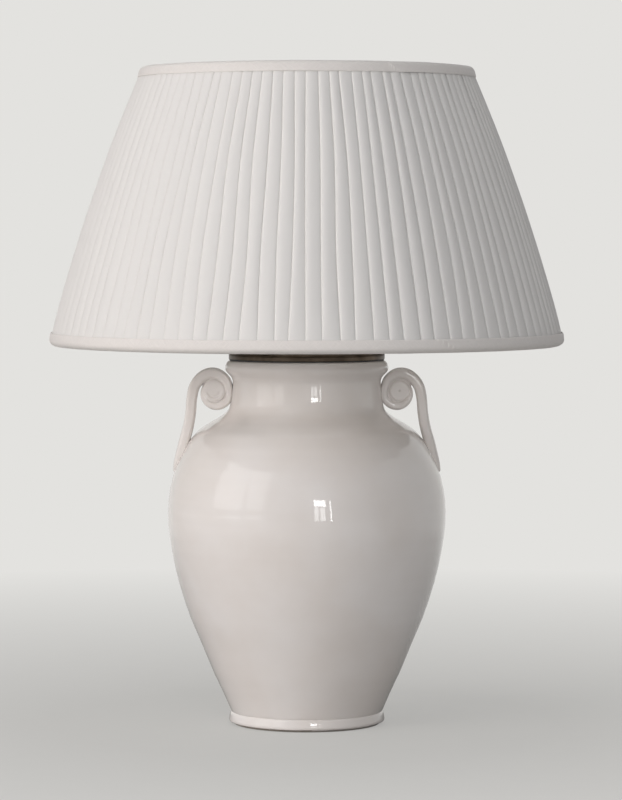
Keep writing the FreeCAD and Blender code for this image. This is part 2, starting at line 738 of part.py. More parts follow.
def make_carrier():
    """The ring that clamps the carrier, and the carrier: a plate, two arms and a ring on top."""
    bore = "holder_radius + running_gap"
    clamp = turned("shade_ring_turned", [
        (bore, "0"), ("shade_ring_outer", "0"),
        ("shade_ring_outer", "shade_ring_height - shade_ring_chamfer"),
        ("shade_ring_outer - shade_ring_chamfer", "shade_ring_height"),
        (bore, "shade_ring_height")])
    finished("shade_ring", clamp, "shade_ring_level")
    plate = finished("carrier_plate", ring("plate_ring", bore, "plate_outer", "plate_thick"),
                     "plate_level")
    loop = finished("carrier_duplex_ring",
                    primitive("Torus", "duplex_loop", Radius1="duplex_radius",
                              Radius2="duplex_wire"), "duplex_level")
    low, high = value("plate_level + plate_thick / 2"), value("duplex_level")
    path = rounded_path([
        (Vector(value("plate_outer - plate_thick"), 0, low), 0),
        (Vector(value("carrier_elbow"), 0, low), value("carrier_bend")),
        (Vector(value("duplex_radius"), 0, high), 0)])
    rods = shaped("carrier_rods", spaced(wire_rod(path, value("carrier_wire")), CARRIER_ARMS))
    finished("carrier_arms", cut("carrier_arms_cut", cut("carrier_arms_foot", rods, plate), loop))


# The bulb

def bulb_form(name, inset):
    """The bulb's filled form, moved in by a formula: a globe on a flared neck."""
    radius, across, down = f"( bulb_radius - {inset} )", *BULB_SHOULDER_SHARES
    centre = "( bulb_centre - glass_foot )"
    level = f"{centre} - {down} * {radius}"
    flare = turned(name + "_flare", [
        ("0", "0"), (f"bulb_neck - {inset}", "0"),
        (f"bulb_neck - {inset}", "bulb_lap + bulb_neck_rise"),
        (f"bulb_flare - {inset}", f"{centre} - bulb_flare_drop", f"{across} * {radius}", level),
        ("0", level)])
    flare.setExpression(".Placement.Base.z", bound("glass_foot"))
    globe = primitive("Sphere", name + "_globe", "bulb_centre", Radius=radius)
    return group(name, [flare, globe])


def make_bulb():
    """The bulb's contact, glass insulator, cap, envelope, stem and filament."""
    finished("bulb_contact", turned("pip", [
        ("0", "0"), ("pip_radius - pip_height", "0"), ("pip_radius", "pip_height"),
        ("0", "pip_height")]), "bulb_level")
    finished("bulb_insulator", turned("insulator_glass", [
        ("0", "0"), ("pip_radius", "0"), ("bead_glass_radius", "bead_glass_height"),
        ("0", "bead_glass_height")]), "bulb_level + pip_height")
    wall, thin = "bulb_cap_wall", "bulb_cap_radius - bulb_cap_wall"
    cone = "bulb_cap_radius - bead_glass_radius"
    finished("bulb_cap", turned("cap_rolled", [
        ("0", "0"), ("bead_glass_radius", "0"), ("bulb_cap_radius", f"{cone}"),
        ("bulb_cap_radius", "bulb_cap_height"), (thin, "bulb_cap_height"),
        (thin, f"{cone} + {wall}"), ("bead_glass_radius - bulb_cap_wall", wall), ("0", wall)]),
        "glass_level - bulb_cap_height")
    glass = cut("envelope", bulb_form("bulb_outside", "0"),
                bulb_form("bulb_inside", "bulb_glass_wall"))
    finished("bulb_glass", glass)
    stem = finished("bulb_stem", turned("stem_glass", [
        ("0", "0"), ("bulb_neck - bulb_glass_wall - thread_gap", "0"), ("stem_top", "stem_flare"),
        ("stem_top", "stem_height"), ("0", "stem_height")]), "glass_foot")
    base, spread, rise = value("stem_top / 2"), value("lead_spread"), value("lead_rise")
    bend = value("lead_bend")
    path = rounded_path([
        (Vector(-base, 0, -bend), 0), (Vector(-spread, 0, rise), bend),
        (Vector(0, 0, rise - spread / 2), bend), (Vector(spread, 0, rise), bend),
        (Vector(base, 0, -bend), 0)])
    leads = shaped("filament_leads", wire_rod(path, value("filament_wire")),
                   "glass_foot + stem_height")
    finished("bulb_filament", cut("filament", leads, stem))


# The shade

def skin(level, depth):
    """A point of the shade's outline: its level, and its depth below the pleats' folds."""
    share = (level - value("shade_bottom_level")) / value("shade_height")
    low, high = value("shade_bottom_radius"), value("shade_top_radius")
    bow = 4 * value("shade_bow") * share * (1 - share)
    return Vector(low + (high - low) * share + bow - depth, 0, level)


def band(low, high, outer, inner):
    """A bowed ring between two levels and two depths."""
    middle = (low + high) / 2
    front = [skin(level, outer) for level in (low, middle, high)]
    back = [skin(level, inner) for level in (high, middle, low)]
    return lathe([spline(front), Part.makeLine(front[-1], back[0]), spline(back),
                  Part.makeLine(back[-1], front[0])])


def pleated(level):
    """The closed line of the knife pleats round the shade at a level."""
    fold, depth = skin(level, 0).x, value("pleat_depth")
    points = []
    for pleat in range(PLEATS):
        for place, share in PLEAT_SHARES:
            angle = 2 * math.pi * (pleat + place) / PLEATS
            radius = fold - depth * share
            points.append(Vector(radius * math.cos(angle), radius * math.sin(angle), level))
    return Part.makePolygon([*points, points[0]])


def trim(edge, outer_height, inner_height):
    """A folded strip over an edge of the shade; heights are negative where it hangs down."""
    way = math.copysign(1, outer_height)
    thick, gap = value("trim_thick"), value("cover_gap")
    behind = value("lining_depth + lining_thick") + gap
    corners = [(outer_height, -gap - thick), (0, -gap - thick), (0, behind + thick),
               (inner_height, behind + thick), (inner_height, behind), (way * thick, behind),
               (way * thick, -gap), (outer_height, -gap)]
    points = [skin(edge + climb, depth) for climb, depth in corners]
    return lathe(chain([*points, points[0]]))


def make_shade():
    """The pleated cover, its lining, trims, wire frame and the spider that it hangs by."""
    bottom, top = value("shade_bottom_level"), value("shade_top_level")
    low, high = bottom + value("edge_inset"), top - value("edge_inset")
    levels = [low + (high - low) * share for share in SECTION_SHARES]
    sections = [pleated(level) for level in levels]
    inner = [skin(level, value("pleat_depth + cover_thick")) for level in levels]
    faces = Part.makeLoft(sections, False, False).Faces
    faces += spline(inner).revolve(Vector(), Vector(0, 0, 1), FULL_TURN).Faces
    for section, point in ((sections[0], inner[0]), (sections[-1], inner[-1])):
        hole = Part.Circle(Vector(0, 0, point.z), Vector(0, 0, 1), point.x)
        faces.append(Part.makeFace([section, Part.Wire(hole.toShape())],
                                   "Part::FaceMakerBullseye"))
    finished("shade_cover", shaped("cover", closed_solid(faces)))

    loops = []
    for side, radius, level in (
            ("bottom", "bottom_ring_radius", "shade_bottom_level + frame_inset"),
            ("top", "top_ring_radius", "shade_top_level - frame_inset")):
        loop = primitive("Torus", f"{side}_loop", Radius1=radius, Radius2="frame_wire")
        loops.append(finished(f"frame_{side}_ring", loop, level))
    depth, inset = value("frame_depth"), value("frame_inset")
    span = top - bottom - 2 * inset
    points = [skin(bottom + inset + span * share, depth) for share in STRUT_SHARES]
    rods = shaped("strut_rods", spaced(bowed_rod(points, value("strut_wire")), STRUTS, FIRST_STRUT))
    finished("frame_struts", cut("struts_cut", cut("struts_foot", rods, loops[0]), loops[1]))

    hub = finished("spider_ring", turned("spider_hub", [
        ("spider_outer - spider_skirt_thick", "0"), ("spider_outer", "0"),
        ("spider_outer", "spider_skirt_height + spider_plate_thick"),
        ("spider_inner", "spider_skirt_height + spider_plate_thick"),
        ("spider_inner", "spider_skirt_height"),
        ("spider_outer - spider_skirt_thick", "spider_skirt_height")]),
        "spider_level - spider_skirt_height")
    plate = value("spider_level + spider_plate_thick / 2")
    rim = value("spider_outer")
    path = rounded_path([
        (Vector(rim - value("spider_skirt_thick"), 0, plate), 0),
        (Vector(rim + value("spider_run"), 0, plate), value("spider_bend")),
        (skin(top - inset, depth), 0)])
    rods = shaped("spider_rods", spaced(wire_rod(path, value("spider_wire")), SPIDER_ARMS,
                                        FIRST_SPIDER_ARM))
    arms = finished("spider_arms", cut("spider_arms_cut", cut("spider_arms_foot", rods, hub),
                                       loops[1]))

    behind = value("lining_depth")
    lining = shaped("lining_cloth", band(low, high, behind, behind + value("lining_thick")))
    finished("shade_lining", cut("lining", lining, arms))
    hem = value("trim_inner_height")
    strip = shaped("top_strip", trim(top, -value("top_trim_height"), -hem))
    finished("top_trim", cut("top_strip_cut", strip, arms))
    finished("bottom_trim", shaped("bottom_strip", trim(bottom, value("bottom_trim_height"), hem)))


make_handles(make_jar())
make_rod()
make_holder()
make_carrier()
make_bulb()
make_shade()
doc.recompute()

for thing in doc.Objects:
    if "Invalid" in thing.State or "Error" in thing.State:
        raise RuntimeError(f"{thing.Label} is {thing.State}")
for piece in PIECES:
    if piece.Shape.isNull() or not piece.Shape.isValid() or not piece.Shape.Solids:
        raise RuntimeError(f"{piece.Label} has no valid solid")
os.makedirs("parts", exist_ok=True)
for piece in PIECES:
    piece.Shape.exportStep(f"parts/{piece.Label}.step")
    box = piece.Shape.BoundBox
    print(f"{piece.Label:20s} {len(piece.Shape.Solids):3d} solids {piece.Shape.Volume:12.1f} mm3 "
          f"z {box.ZMin:7.2f} to {box.ZMax:7.2f}")
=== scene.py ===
"""The looks of a table lamp: glazed jar, scroll handles, holder, bulb and pleated linen shade."""

import logging
import math
import random
from dataclasses import dataclass, field
from enum import Enum
from typing import Any, Callable, Sequence

import bpy
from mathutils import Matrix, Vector, noise


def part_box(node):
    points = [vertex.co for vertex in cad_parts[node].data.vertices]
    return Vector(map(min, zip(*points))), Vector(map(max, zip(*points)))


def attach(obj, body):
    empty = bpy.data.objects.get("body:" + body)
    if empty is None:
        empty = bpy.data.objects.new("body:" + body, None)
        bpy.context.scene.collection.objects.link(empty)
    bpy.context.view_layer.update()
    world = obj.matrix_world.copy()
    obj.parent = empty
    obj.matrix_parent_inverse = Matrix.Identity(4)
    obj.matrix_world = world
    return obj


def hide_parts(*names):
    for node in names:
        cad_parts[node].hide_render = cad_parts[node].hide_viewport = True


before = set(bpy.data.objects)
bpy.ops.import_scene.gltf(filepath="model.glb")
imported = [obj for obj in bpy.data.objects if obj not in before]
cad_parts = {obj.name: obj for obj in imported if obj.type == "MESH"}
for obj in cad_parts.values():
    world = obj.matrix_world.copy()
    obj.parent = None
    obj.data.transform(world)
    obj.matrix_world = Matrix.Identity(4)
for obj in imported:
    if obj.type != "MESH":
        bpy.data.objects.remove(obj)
LOG = logging.getLogger("table_lamp")

# Sizes are in millimetres, and MM turns them to the scene's metres.
MM = 0.001
FULL = 2 * math.pi
FRONT = -math.pi / 2
WELD = 2e-6
SEED = 7
# The round thread of an E27 lamp: its rise in one turn and half its depth.
THREAD_RISE = 3.63
THREAD_SWING = 0.42
THREAD_POINTS = 10

Piece = bpy.types.Object
Tree = bpy.types.NodeTree
Socket = bpy.types.NodeSocket
Pattern = tuple[Socket, Socket, Socket]
Point = tuple[float, float, float]
Outline = list[tuple[float, float]]


class Space(Enum):
    """The coordinates that a finish's pattern follows."""

    OBJECT = "Object"
    CLOTH = "UV"


class Side(Enum):
    """A side of the jar, as the sign of its x."""

    LEFT = -1
    RIGHT = 1


def linear(colour: str) -> tuple[float, float, float, float]:
    """Turn an sRGB hex colour to linear light.

    Args:
        colour: The colour as six hex digits after a hash.

    Returns:
        Red, green, blue and alpha for a shader socket.
    """
    parts = [int(colour[at:at + 2], 16) / 255 for at in (1, 3, 5)]
    red, green, blue = [part / 12.92 if part <= 0.04045 else ((part + 0.055) / 1.055) ** 2.4
                        for part in parts]
    return red, green, blue, 1.0


def add(tree: Tree, kind: str, settings: dict[Any, Any] | None = None,
        links: dict[Any, Socket] | None = None) -> bpy.types.Node:
    """Add a shader node with its settings and links.

    Args:
        tree: The node tree.
        kind: The node's type, without its ShaderNode prefix.
        settings: Properties by name, or input values by the socket's name or number.
        links: Sockets that feed its inputs, by the input's name or number.

    Returns:
        The new node.
    """
    node = tree.nodes.new("ShaderNode" + kind)
    for key, setting in (settings or {}).items():
        if isinstance(key, str) and hasattr(node, key):
            setattr(node, key, setting)
        else:
            node.inputs[key].default_value = setting
    for key, source in (links or {}).items():
        tree.links.new(source, node.inputs[key])
    return node


@dataclass(frozen=True)
class Finish:
    """A surface finish: its name, two colours that mottle it, and how rough it is."""

    name: str
    colour: str
    tint: str
    roughness: float
    metallic: float = 0.0
    mottle_mm: float = 40.0
    grain_mm: float = 1.0
    grain_depth_mm: float = 0.02
    rough_swing: float = 0.08
    space: Space = Space.OBJECT
    shader: dict[str, Any] = field(default_factory=dict)

    def material(self) -> bpy.types.Material:
        """Build the finish's material, or give the one already built.

        Returns:
            The material.
        """
        known = bpy.data.materials.get(self.name)
        if known:
            return known
        made = bpy.data.materials.new(self.name)
        made.use_nodes = True
        tree = made.node_tree
        shader = tree.nodes["Principled BSDF"]
        for socket, setting in {"Metallic": self.metallic, **self.shader}.items():
            shader.inputs[socket].default_value = setting
        place = add(tree, "TexCoord").outputs[self.space.value]
        colour, rough, height = self.lay(tree, place)
        tree.links.new(colour, shader.inputs["Base Color"])
        tree.links.new(rough, shader.inputs["Roughness"])
        bump = add(tree, "Bump", {"Distance": self.grain_depth_mm * MM, "Strength": 1.0},
                   {"Height": height})
        tree.links.new(bump.outputs["Normal"], shader.inputs["Normal"])
        return made

    def mottled(self, tree: Tree, place: Socket, amount: Socket | None = None) -> Socket:
        """Mix the two colours by a soft noise, or by a given amount.

        Args:
            tree: The node tree.
            place: The coordinates.
            amount: What mixes the colours, if not the noise.

        Returns:
            The colour socket.
        """
        if amount is None:
            soft = add(tree, "TexNoise", {"Scale": 1 / (self.mottle_mm * MM), "Detail": 3.0},
                       {"Vector": place})
            amount = add(tree, "MapRange", {"From Min": 0.35, "From Max": 0.65},
                         {"Value": soft.outputs["Fac"]}).outputs["Result"]
        mix = add(tree, "Mix", {"data_type": "RGBA", 6: linear(self.colour), 7: linear(self.tint)},
                  {0: amount})
        return mix.outputs[2]

    def swung(self, tree: Tree, source: Socket) -> Socket:
        """Turn a noise into a roughness that swings about the finish's own.

        Args:
            tree: The node tree.
            source: The noise.

        Returns:
            The roughness socket.
        """
        low, high = self.roughness - self.rough_swing, self.roughness + self.rough_swing
        return add(tree, "MapRange", {"To Min": max(low, 0.02), "To Max": min(high, 1.0)},
                   {"Value": source}).outputs["Result"]

    def lay(self, tree: Tree, place: Socket) -> Pattern:
        """Lay the finish's pattern: a fine grain over a soft mottle.

        Args:
            tree: The node tree.
            place: The coordinates.

        Returns:
            The colour, roughness and height sockets.
        """
        grain = add(tree, "TexNoise", {"Scale": 1 / (self.grain_mm * MM), "Detail": 2.0},
                    {"Vector": place}).outputs["Fac"]
        return self.mottled(tree, place), self.swung(tree, grain), grain


@dataclass(frozen=True)
class Glaze(Finish):
    """Glossy tin-white glaze over stoneware: faintly rippled and pinholed, with a cloudy colour."""

    pit_mm: float = 9.0

    def lay(self, tree: Tree, place: Socket) -> Pattern:
        """Lay ripples stretched round the pot, over a cloudy colour.

        Args:
            tree: The node tree.
            place: The coordinates.

        Returns:
            The colour, roughness and height sockets.
        """
        flat = add(tree, "Mapping", {"Scale": (1.0, 1.0, 2.0)}, {"Vector": place})
        ripple = add(tree, "TexNoise", {"Scale": 1 / (self.grain_mm * MM), "Detail": 1.0},
                     {"Vector": flat.outputs["Vector"]}).outputs["Fac"]
        pits = add(tree, "TexVoronoi", {"Scale": 1 / (self.pit_mm * MM), "Randomness": 1.0},
                   {"Vector": place}).outputs["Distance"]
        pinhole = add(tree, "MapRange", {"From Min": 0.02, "From Max": 0.06}, {"Value": pits})
        height = add(tree, "Math", {"operation": "MULTIPLY"},
                     {0: ripple, 1: pinhole.outputs["Result"]}).outputs["Value"]
        return self.mottled(tree, place), self.swung(tree, ripple), height


@dataclass(frozen=True)
class Woven(Finish):
    """Plain-weave cloth: warp and weft threads with slubs, on the cloth's own map in metres."""

    slub_mm: float = 14.0
    slub_share: float = 0.55
    turn: float = 0.0

    def lay(self, tree: Tree, place: Socket) -> Pattern:
        """Lay two sets of threads, and slubs drawn out along each.

        Args:
            tree: The node tree.
            place: The coordinates.

        Returns:
            The colour, roughness and height sockets.
        """
        cloth = add(tree, "Mapping", {"Rotation": (0.0, 0.0, self.turn)},
                    {"Vector": place}).outputs["Vector"]
        # At a scale of 1 the texture's bands are a twentieth of a full turn apart.
        wave = FULL / 20 / (self.grain_mm * MM)
        threads, slubs = [], []
        for way, stretch in (("X", (1.0, self.grain_mm / self.slub_mm, 1.0)),
                             ("Y", (self.grain_mm / self.slub_mm, 1.0, 1.0))):
            threads.append(add(tree, "TexWave", {"bands_direction": way, "Scale": wave,
                                                 "Distortion": 1.2, "Detail": 1.0,
                                                 "Detail Scale": 0.4}, {"Vector": cloth}))
            drawn = add(tree, "Mapping", {"Scale": stretch}, {"Vector": cloth})
            slubs.append(add(tree, "TexNoise",
                             {"Scale": self.slub_share / (self.grain_mm * MM), "Detail": 1.0},
                             {"Vector": drawn.outputs["Vector"]}))
        weave = add(tree, "Math", {"operation": "MAXIMUM"},
                    {0: threads[0].outputs["Fac"], 1: threads[1].outputs["Fac"]}).outputs["Value"]
        slub = add(tree, "Math", {"operation": "MAXIMUM"},
                   {0: slubs[0].outputs["Fac"], 1: slubs[1].outputs["Fac"]}).outputs["Value"]
        height = add(tree, "Math", {"operation": "MULTIPLY_ADD", 1: 0.5},
                     {0: weave, 2: slub}).outputs["Value"]
        amount = add(tree, "MapRange", {"From Min": 0.75, "From Max": 0.35}, {"Value": slub})
        return self.mottled(tree, place, amount.outputs["Result"]), self.swung(tree, slub), height


@dataclass(frozen=True)
class Spun(Finish):
    """Metal turned or spun about the lamp's axis: fine rings that catch the light, and a patina."""

    def lay(self, tree: Tree, place: Socket) -> Pattern:
        """Lay rings by radius and height, and let the patina gather in some of them.

        Args:
            tree: The node tree.
            place: The coordinates.

        Returns:
            The colour, roughness and height sockets.
        """
        apart = add(tree, "SeparateXYZ", {}, {"Vector": place})
        level = add(tree, "CombineXYZ", {}, {"X": apart.outputs["X"], "Y": apart.outputs["Y"]})
        radius = add(tree, "VectorMath", {"operation": "LENGTH"},
                     {0: level.outputs["Vector"]}).outputs["Value"]
        along = add(tree, "CombineXYZ", {}, {"X": radius, "Y": apart.outputs["Z"]})
        rings = add(tree, "TexNoise", {"Scale": 1 / (self.grain_mm * MM), "Detail": 2.0},
                    {"Vector": along.outputs["Vector"]}).outputs["Fac"]
        cloud = add(tree, "TexNoise", {"Scale": 1 / (self.mottle_mm * MM), "Detail": 4.0},
                    {"Vector": place}).outputs["Fac"]
        both = add(tree, "Math", {"operation": "ADD"}, {0: rings, 1: cloud}).outputs["Value"]
        amount = add(tree, "MapRange", {"From Min": 0.75, "From Max": 1.25}, {"Value": both})
        return self.mottled(tree, place, amount.outputs["Result"]), self.swung(tree, rings), rings


# Tin-white stoneware glaze: deep gloss with soft clouds of warmer and cooler white.
GLAZE = Glaze("tin_white_glaze", "#F0EBE8", "#EAE3DE", 0.30, mottle_mm=90, grain_mm=30,
              grain_depth_mm=0.06, rough_swing=0.03,
              shader={"Coat Weight": 1.0, "Coat Roughness": 0.03, "Coat IOR": 1.5, "IOR": 1.5,
                      "Specular IOR Level": 0.15})
# Wiped stoneware: the foot's standing ring, where the glaze was cleaned off before firing.
BARE_CLAY = Finish("wiped_stoneware", "#8F7F6C", "#7A6B5A", 0.85, mottle_mm=12, grain_mm=0.8,
                   grain_depth_mm=0.12)
# Cover linen: threads are really 0.4 mm apart, and drawn about 1 mm apart so that they show.
LINEN = Woven("pleated_linen", "#EEE8E5", "#D9D2CD", 0.86, grain_mm=1.1, grain_depth_mm=0.16,
              space=Space.CLOTH, shader={"Sheen Weight": 0.25, "Sheen Roughness": 0.5})
# The trims' linen is cut on the bias, so its threads run at 45 degrees.
TRIM_LINEN = Woven("bias_linen", "#EBE6E2", "#E4DFDB", 0.88, grain_mm=0.6, grain_depth_mm=0.02,
                   space=Space.CLOTH, turn=math.pi / 4, slub_mm=5.0,
                   shader={"Sheen Weight": 0.25, "Sheen Roughness": 0.5})
# Lining: a close smooth cotton, whose threads are drawn about 0.8 mm apart so that they show.
LINING = Woven("lining_cotton", "#F1EEE8", "#E9E5DD", 0.8, grain_mm=0.8, grain_depth_mm=0.03,
               space=Space.CLOTH, shader={"Sheen Weight": 0.15})
# Pressed wool felt: matt, with short fibres that catch the light at its edge.
FELT = Finish("wool_felt", "#5D5248", "#483F38", 0.95, mottle_mm=6, grain_mm=0.5,
              grain_depth_mm=0.2, shader={"Sheen Weight": 0.5})
# Moulded rubber: near black, with an even dull sheen.
RUBBER = Finish("moulded_rubber", "#1B1A19", "#262422", 0.6, mottle_mm=8, grain_mm=0.4)
# Antique bronze: spun brass darkened in a bath and rubbed back, so that fine rings glint.
BRONZE = Spun("antique_bronze", "#352C25", "#74685B", 0.40, 1.0, mottle_mm=25, grain_mm=1.3,
              grain_depth_mm=0.03, rough_swing=0.12)
# Turned brass with a satin lacquer: warm, with fine rings that draw its highlights out.
BRASS = Spun("satin_brass", "#C9A869", "#B79353", 0.30, 1.0, mottle_mm=18, grain_mm=0.5,
             grain_depth_mm=0.01, rough_swing=0.08)
# Zinc-plated steel: cool grey with a slightly cloudy gleam.
ZINC = Spun("zinc_plated_steel", "#B9B9B4", "#A5A6A3", 0.34, 1.0, mottle_mm=10, grain_mm=0.6,
            grain_depth_mm=0.015)
# Thin brass rolled and nickel-plated: bright and a little warm.
NICKEL = Spun("nickelled_cap", "#C8C5BE", "#B7B3AB", 0.22, 1.0, mottle_mm=8, grain_mm=0.5,
              grain_depth_mm=0.01)
# Pressed and glazed porcelain: off-white under a clear gloss.
PORCELAIN = Finish("pressed_porcelain", "#EFEBE2", "#E5DFD3", 0.18, mottle_mm=10, grain_mm=2,
                   grain_depth_mm=0.02, rough_swing=0.04)
# Powder coat baked on steel wire: white, half glossy, with a fine orange peel.
ENAMEL = Finish("white_powder_coat", "#E9E8E4", "#DEDDD8", 0.42, mottle_mm=15, grain_mm=0.9,
                grain_depth_mm=0.03)
# Blown soda-lime glass: clear, and smooth but for the slow waves of blowing.
GLASS = Finish("bulb_glass_clear", "#FFFFFF", "#F7F9F8", 0.03, mottle_mm=30, grain_mm=20,
               grain_depth_mm=0.01, rough_swing=0.01,
               shader={"Transmission Weight": 1.0, "IOR": 1.5})
# Black glass poured into the bulb's cap: dark and shiny.
CAP_GLASS = Finish("black_cap_glass", "#121114", "#1B1A20", 0.12, mottle_mm=4, grain_mm=2)
# Drawn tungsten wire: grey with a faint gleam.
TUNGSTEN = Finish("tungsten_wire", "#7C7771", "#6A6560", 0.4, 1.0, mottle_mm=2, grain_mm=0.3)


def select_only(*pieces: Piece) -> None:
    """Select pieces alone.

    Args:
        *pieces: The pieces, the last of which becomes the active one.
    """
    bpy.ops.object.select_all(action="DESELECT")
    for piece in pieces:
        piece.select_set(True)
    bpy.context.view_layer.objects.active = pieces[-1]


def modified(piece: Piece, kind: str, **settings: Any) -> Piece:
    """Give a piece a modifier and apply it.

    Args:
        piece: The piece.
        kind: The modifier's type.
        **settings: The modifier's settings.

    Returns:
        The same piece.
    """
    modifier = piece.modifiers.new(kind, kind)
    for name, setting in settings.items():
        setattr(modifier, name, setting)
    select_only(piece)
    bpy.ops.object.modifier_apply(modifier=modifier.name)
    return piece


def smoothed(piece: Piece, angle: float = 35.0) -> Piece:
    """Shade a piece smooth, except over its sharp edges.

    Args:
        piece: The piece.
        angle: The angle in degrees from which an edge is sharp.

    Returns:
        The same piece.
    """
    select_only(piece)
    bpy.ops.object.shade_smooth_by_angle(angle=math.radians(angle))
    return piece


def started(name: str, primitive: Callable[..., Any], **settings: Any) -> Piece:
    """Start a piece from a primitive, with nothing else selected.

    Args:
        name: The piece's name.
        primitive: The operator that adds the primitive.
        **settings: The operator's settings.

    Returns:
        The piece.
    """
    bpy.ops.object.select_all(action="DESELECT")
    primitive(**settings)
    piece = bpy.context.object
    piece.name = name
    return piece


def welded(piece: Piece, outwards: bool) -> Piece:
    """Merge the corners of a piece that meet, and shade it smooth.

    Args:
        piece: The piece, which is the active one.
        outwards: Whether its faces are turned outwards too.

    Returns:
        The same piece, in object mode.
    """
    bpy.ops.object.mode_set(mode="EDIT")
    bpy.ops.mesh.select_all(action="SELECT")
    bpy.ops.mesh.remove_doubles(threshold=WELD)
    if outwards:
        bpy.ops.mesh.normals_make_consistent(inside=False)
    bpy.ops.object.mode_set(mode="OBJECT")
    return smoothed(piece)


def drawn(name: str, outline: Outline) -> Piece:
    """Draw an outline point by point beside the lamp's axis, from one vertex extruded on.

    Args:
        name: The piece's name.
        outline: Radius and height of each point in millimetres.

    Returns:
        The piece, left in edit mode with all of it selected.
    """
    piece = started(name, bpy.ops.mesh.primitive_plane_add, size=MM)
    points = [Vector((radius, 0.0, height)) for radius, height in outline]
    bpy.ops.object.mode_set(mode="EDIT")
    bpy.ops.mesh.merge(type="CENTER")
    bpy.ops.transform.translate(value=points[0] * MM)
    for before, after in zip(points, points[1:]):
        step = (after - before) * MM
        bpy.ops.mesh.extrude_region_move(TRANSFORM_OT_translate={"value": step})
    bpy.ops.mesh.select_all(action="SELECT")
    return piece


def turned(name: str, outline: Outline, steps: int = 96) -> Piece:
    """Turn a piece on the lamp's axis, as on a wheel: an outline spun all round.

    Args:
        name: The piece's name.
        outline: Radius and height of each point in millimetres. It closes on itself, or it
            starts and ends on the axis.
        steps: How many faces go round.

    Returns:
        The piece.
    """
    piece = drawn(name, outline)
    bpy.ops.mesh.spin(steps=steps, angle=FULL, center=(0, 0, 0), axis=(0, 0, 1))
    return welded(piece, outwards=True)


def threaded(name: str, radius: float, level: float, turns: int, steps: int = 64) -> Piece:
    """Roll a round screw thread: one wave of it screwed up the lamp's axis.

    Args:
        name: The piece's name.
        radius: The thread's mean radius in millimetres.
        level: The height at which it starts in millimetres.
        turns: How many turns it has.
        steps: How many faces go round.

    Returns:
        The piece.
    """
    wave = [(radius + THREAD_SWING * math.cos(FULL * point / THREAD_POINTS),
             level + THREAD_RISE * point / THREAD_POINTS) for point in range(THREAD_POINTS + 1)]
    piece = drawn(name, wave)
    bpy.ops.object.mode_set(mode="OBJECT")
    return modified(piece, "SCREW", axis="Z", angle=FULL, screw_offset=THREAD_RISE * MM,
                    iterations=turns, steps=steps, render_steps=steps,
                    use_merge_vertices=True, merge_threshold=WELD)


def formed(name: str, place: Callable[[float, float], Point], columns: int, rows: int,
           cloth: tuple[float, float] = (1.0, 1.0), outwards: bool = False) -> Piece:
    """Form a piece from a sheet of squares, each corner put where a rule says.

    Args:
        name: The piece's name.
        place: The rule: from the share across and along to a place in millimetres.
        columns: Squares across.
        rows: Squares along.
        cloth: The map's width and length in metres.
        outwards: Whether its faces are turned outwards.

    Returns:
        The piece, with its edges welded where they meet.
    """
    piece = started(name, bpy.ops.mesh.primitive_grid_add, x_subdivisions=columns,
                    y_subdivisions=rows, size=1.0)
    mesh = piece.data
    spots = [(vertex.co.x + 0.5, vertex.co.y + 0.5) for vertex in mesh.vertices]
    for loop in mesh.loops:
        across, along = spots[loop.vertex_index]
        mesh.uv_layers[0].data[loop.index].uv = (across * cloth[0], along * cloth[1])
    for vertex, (across, along) in zip(mesh.vertices, spots):
        vertex.co = Vector(place(across, along)) * MM
    return welded(piece, outwards)


def curved(points: Sequence[Sequence[float]], share: float) -> list[float]:
    """A place on the smooth curve through points, with as much of it between any two.

    Args:
        points: The points, each with any number of values.
        share: How far along, from 0 to 1.

    Returns:
        The values there.
    """
    spot = min(max(share, 0.0), 1.0) * (len(points) - 1)
    at = min(int(spot), len(points) - 2)
    part = spot - at
    first, second = points[max(at - 1, 0)], points[at]
    third, fourth = points[at + 1], points[min(at + 2, len(points) - 1)]
    return [0.5 * (2 * q + (r - p) * part + (2 * p - 5 * q + 4 * r - s) * part ** 2
                   + (3 * q - p - 3 * r + s) * part ** 3)
            for p, q, r, s in zip(first, second, third, fourth)]


def eased(share: float) -> float:
    """A step from 0 to 1 that starts and ends softly."""
    share = min(max(share, 0.0), 1.0)
    return share * share * (3 - 2 * share)


def dressed(finish: Finish, *nodes: str) -> None:
    """Give CAD nodes that stay in sight a finish.

    Args:
        finish: The finish.
        *nodes: The CAD nodes.
    """
    for name in nodes:
        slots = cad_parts[name].data.materials
        slots.clear()
        slots.append(finish.material())


def mounted(piece: Piece, body: str, finish: Finish, slot: str, *nodes: str
            ) -> Piece:
    """Dress a finished piece, put it on its body and let it stand for CAD nodes.

    Args:
        piece: The piece.
        body: The CAD body that it rides on.
        finish: Its finish.
        slot: The record's material slot, which is not used.
        *nodes: The CAD nodes that it replaces.

    Returns:
        The same piece.
    """
    if not piece.data.materials:
        piece.data.materials.append(finish.material())
    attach(piece, body)
    if nodes:
        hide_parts(*nodes)
    LOG.info("%s: %d faces on %s", piece.name, len(piece.data.polygons), body)
    return piece


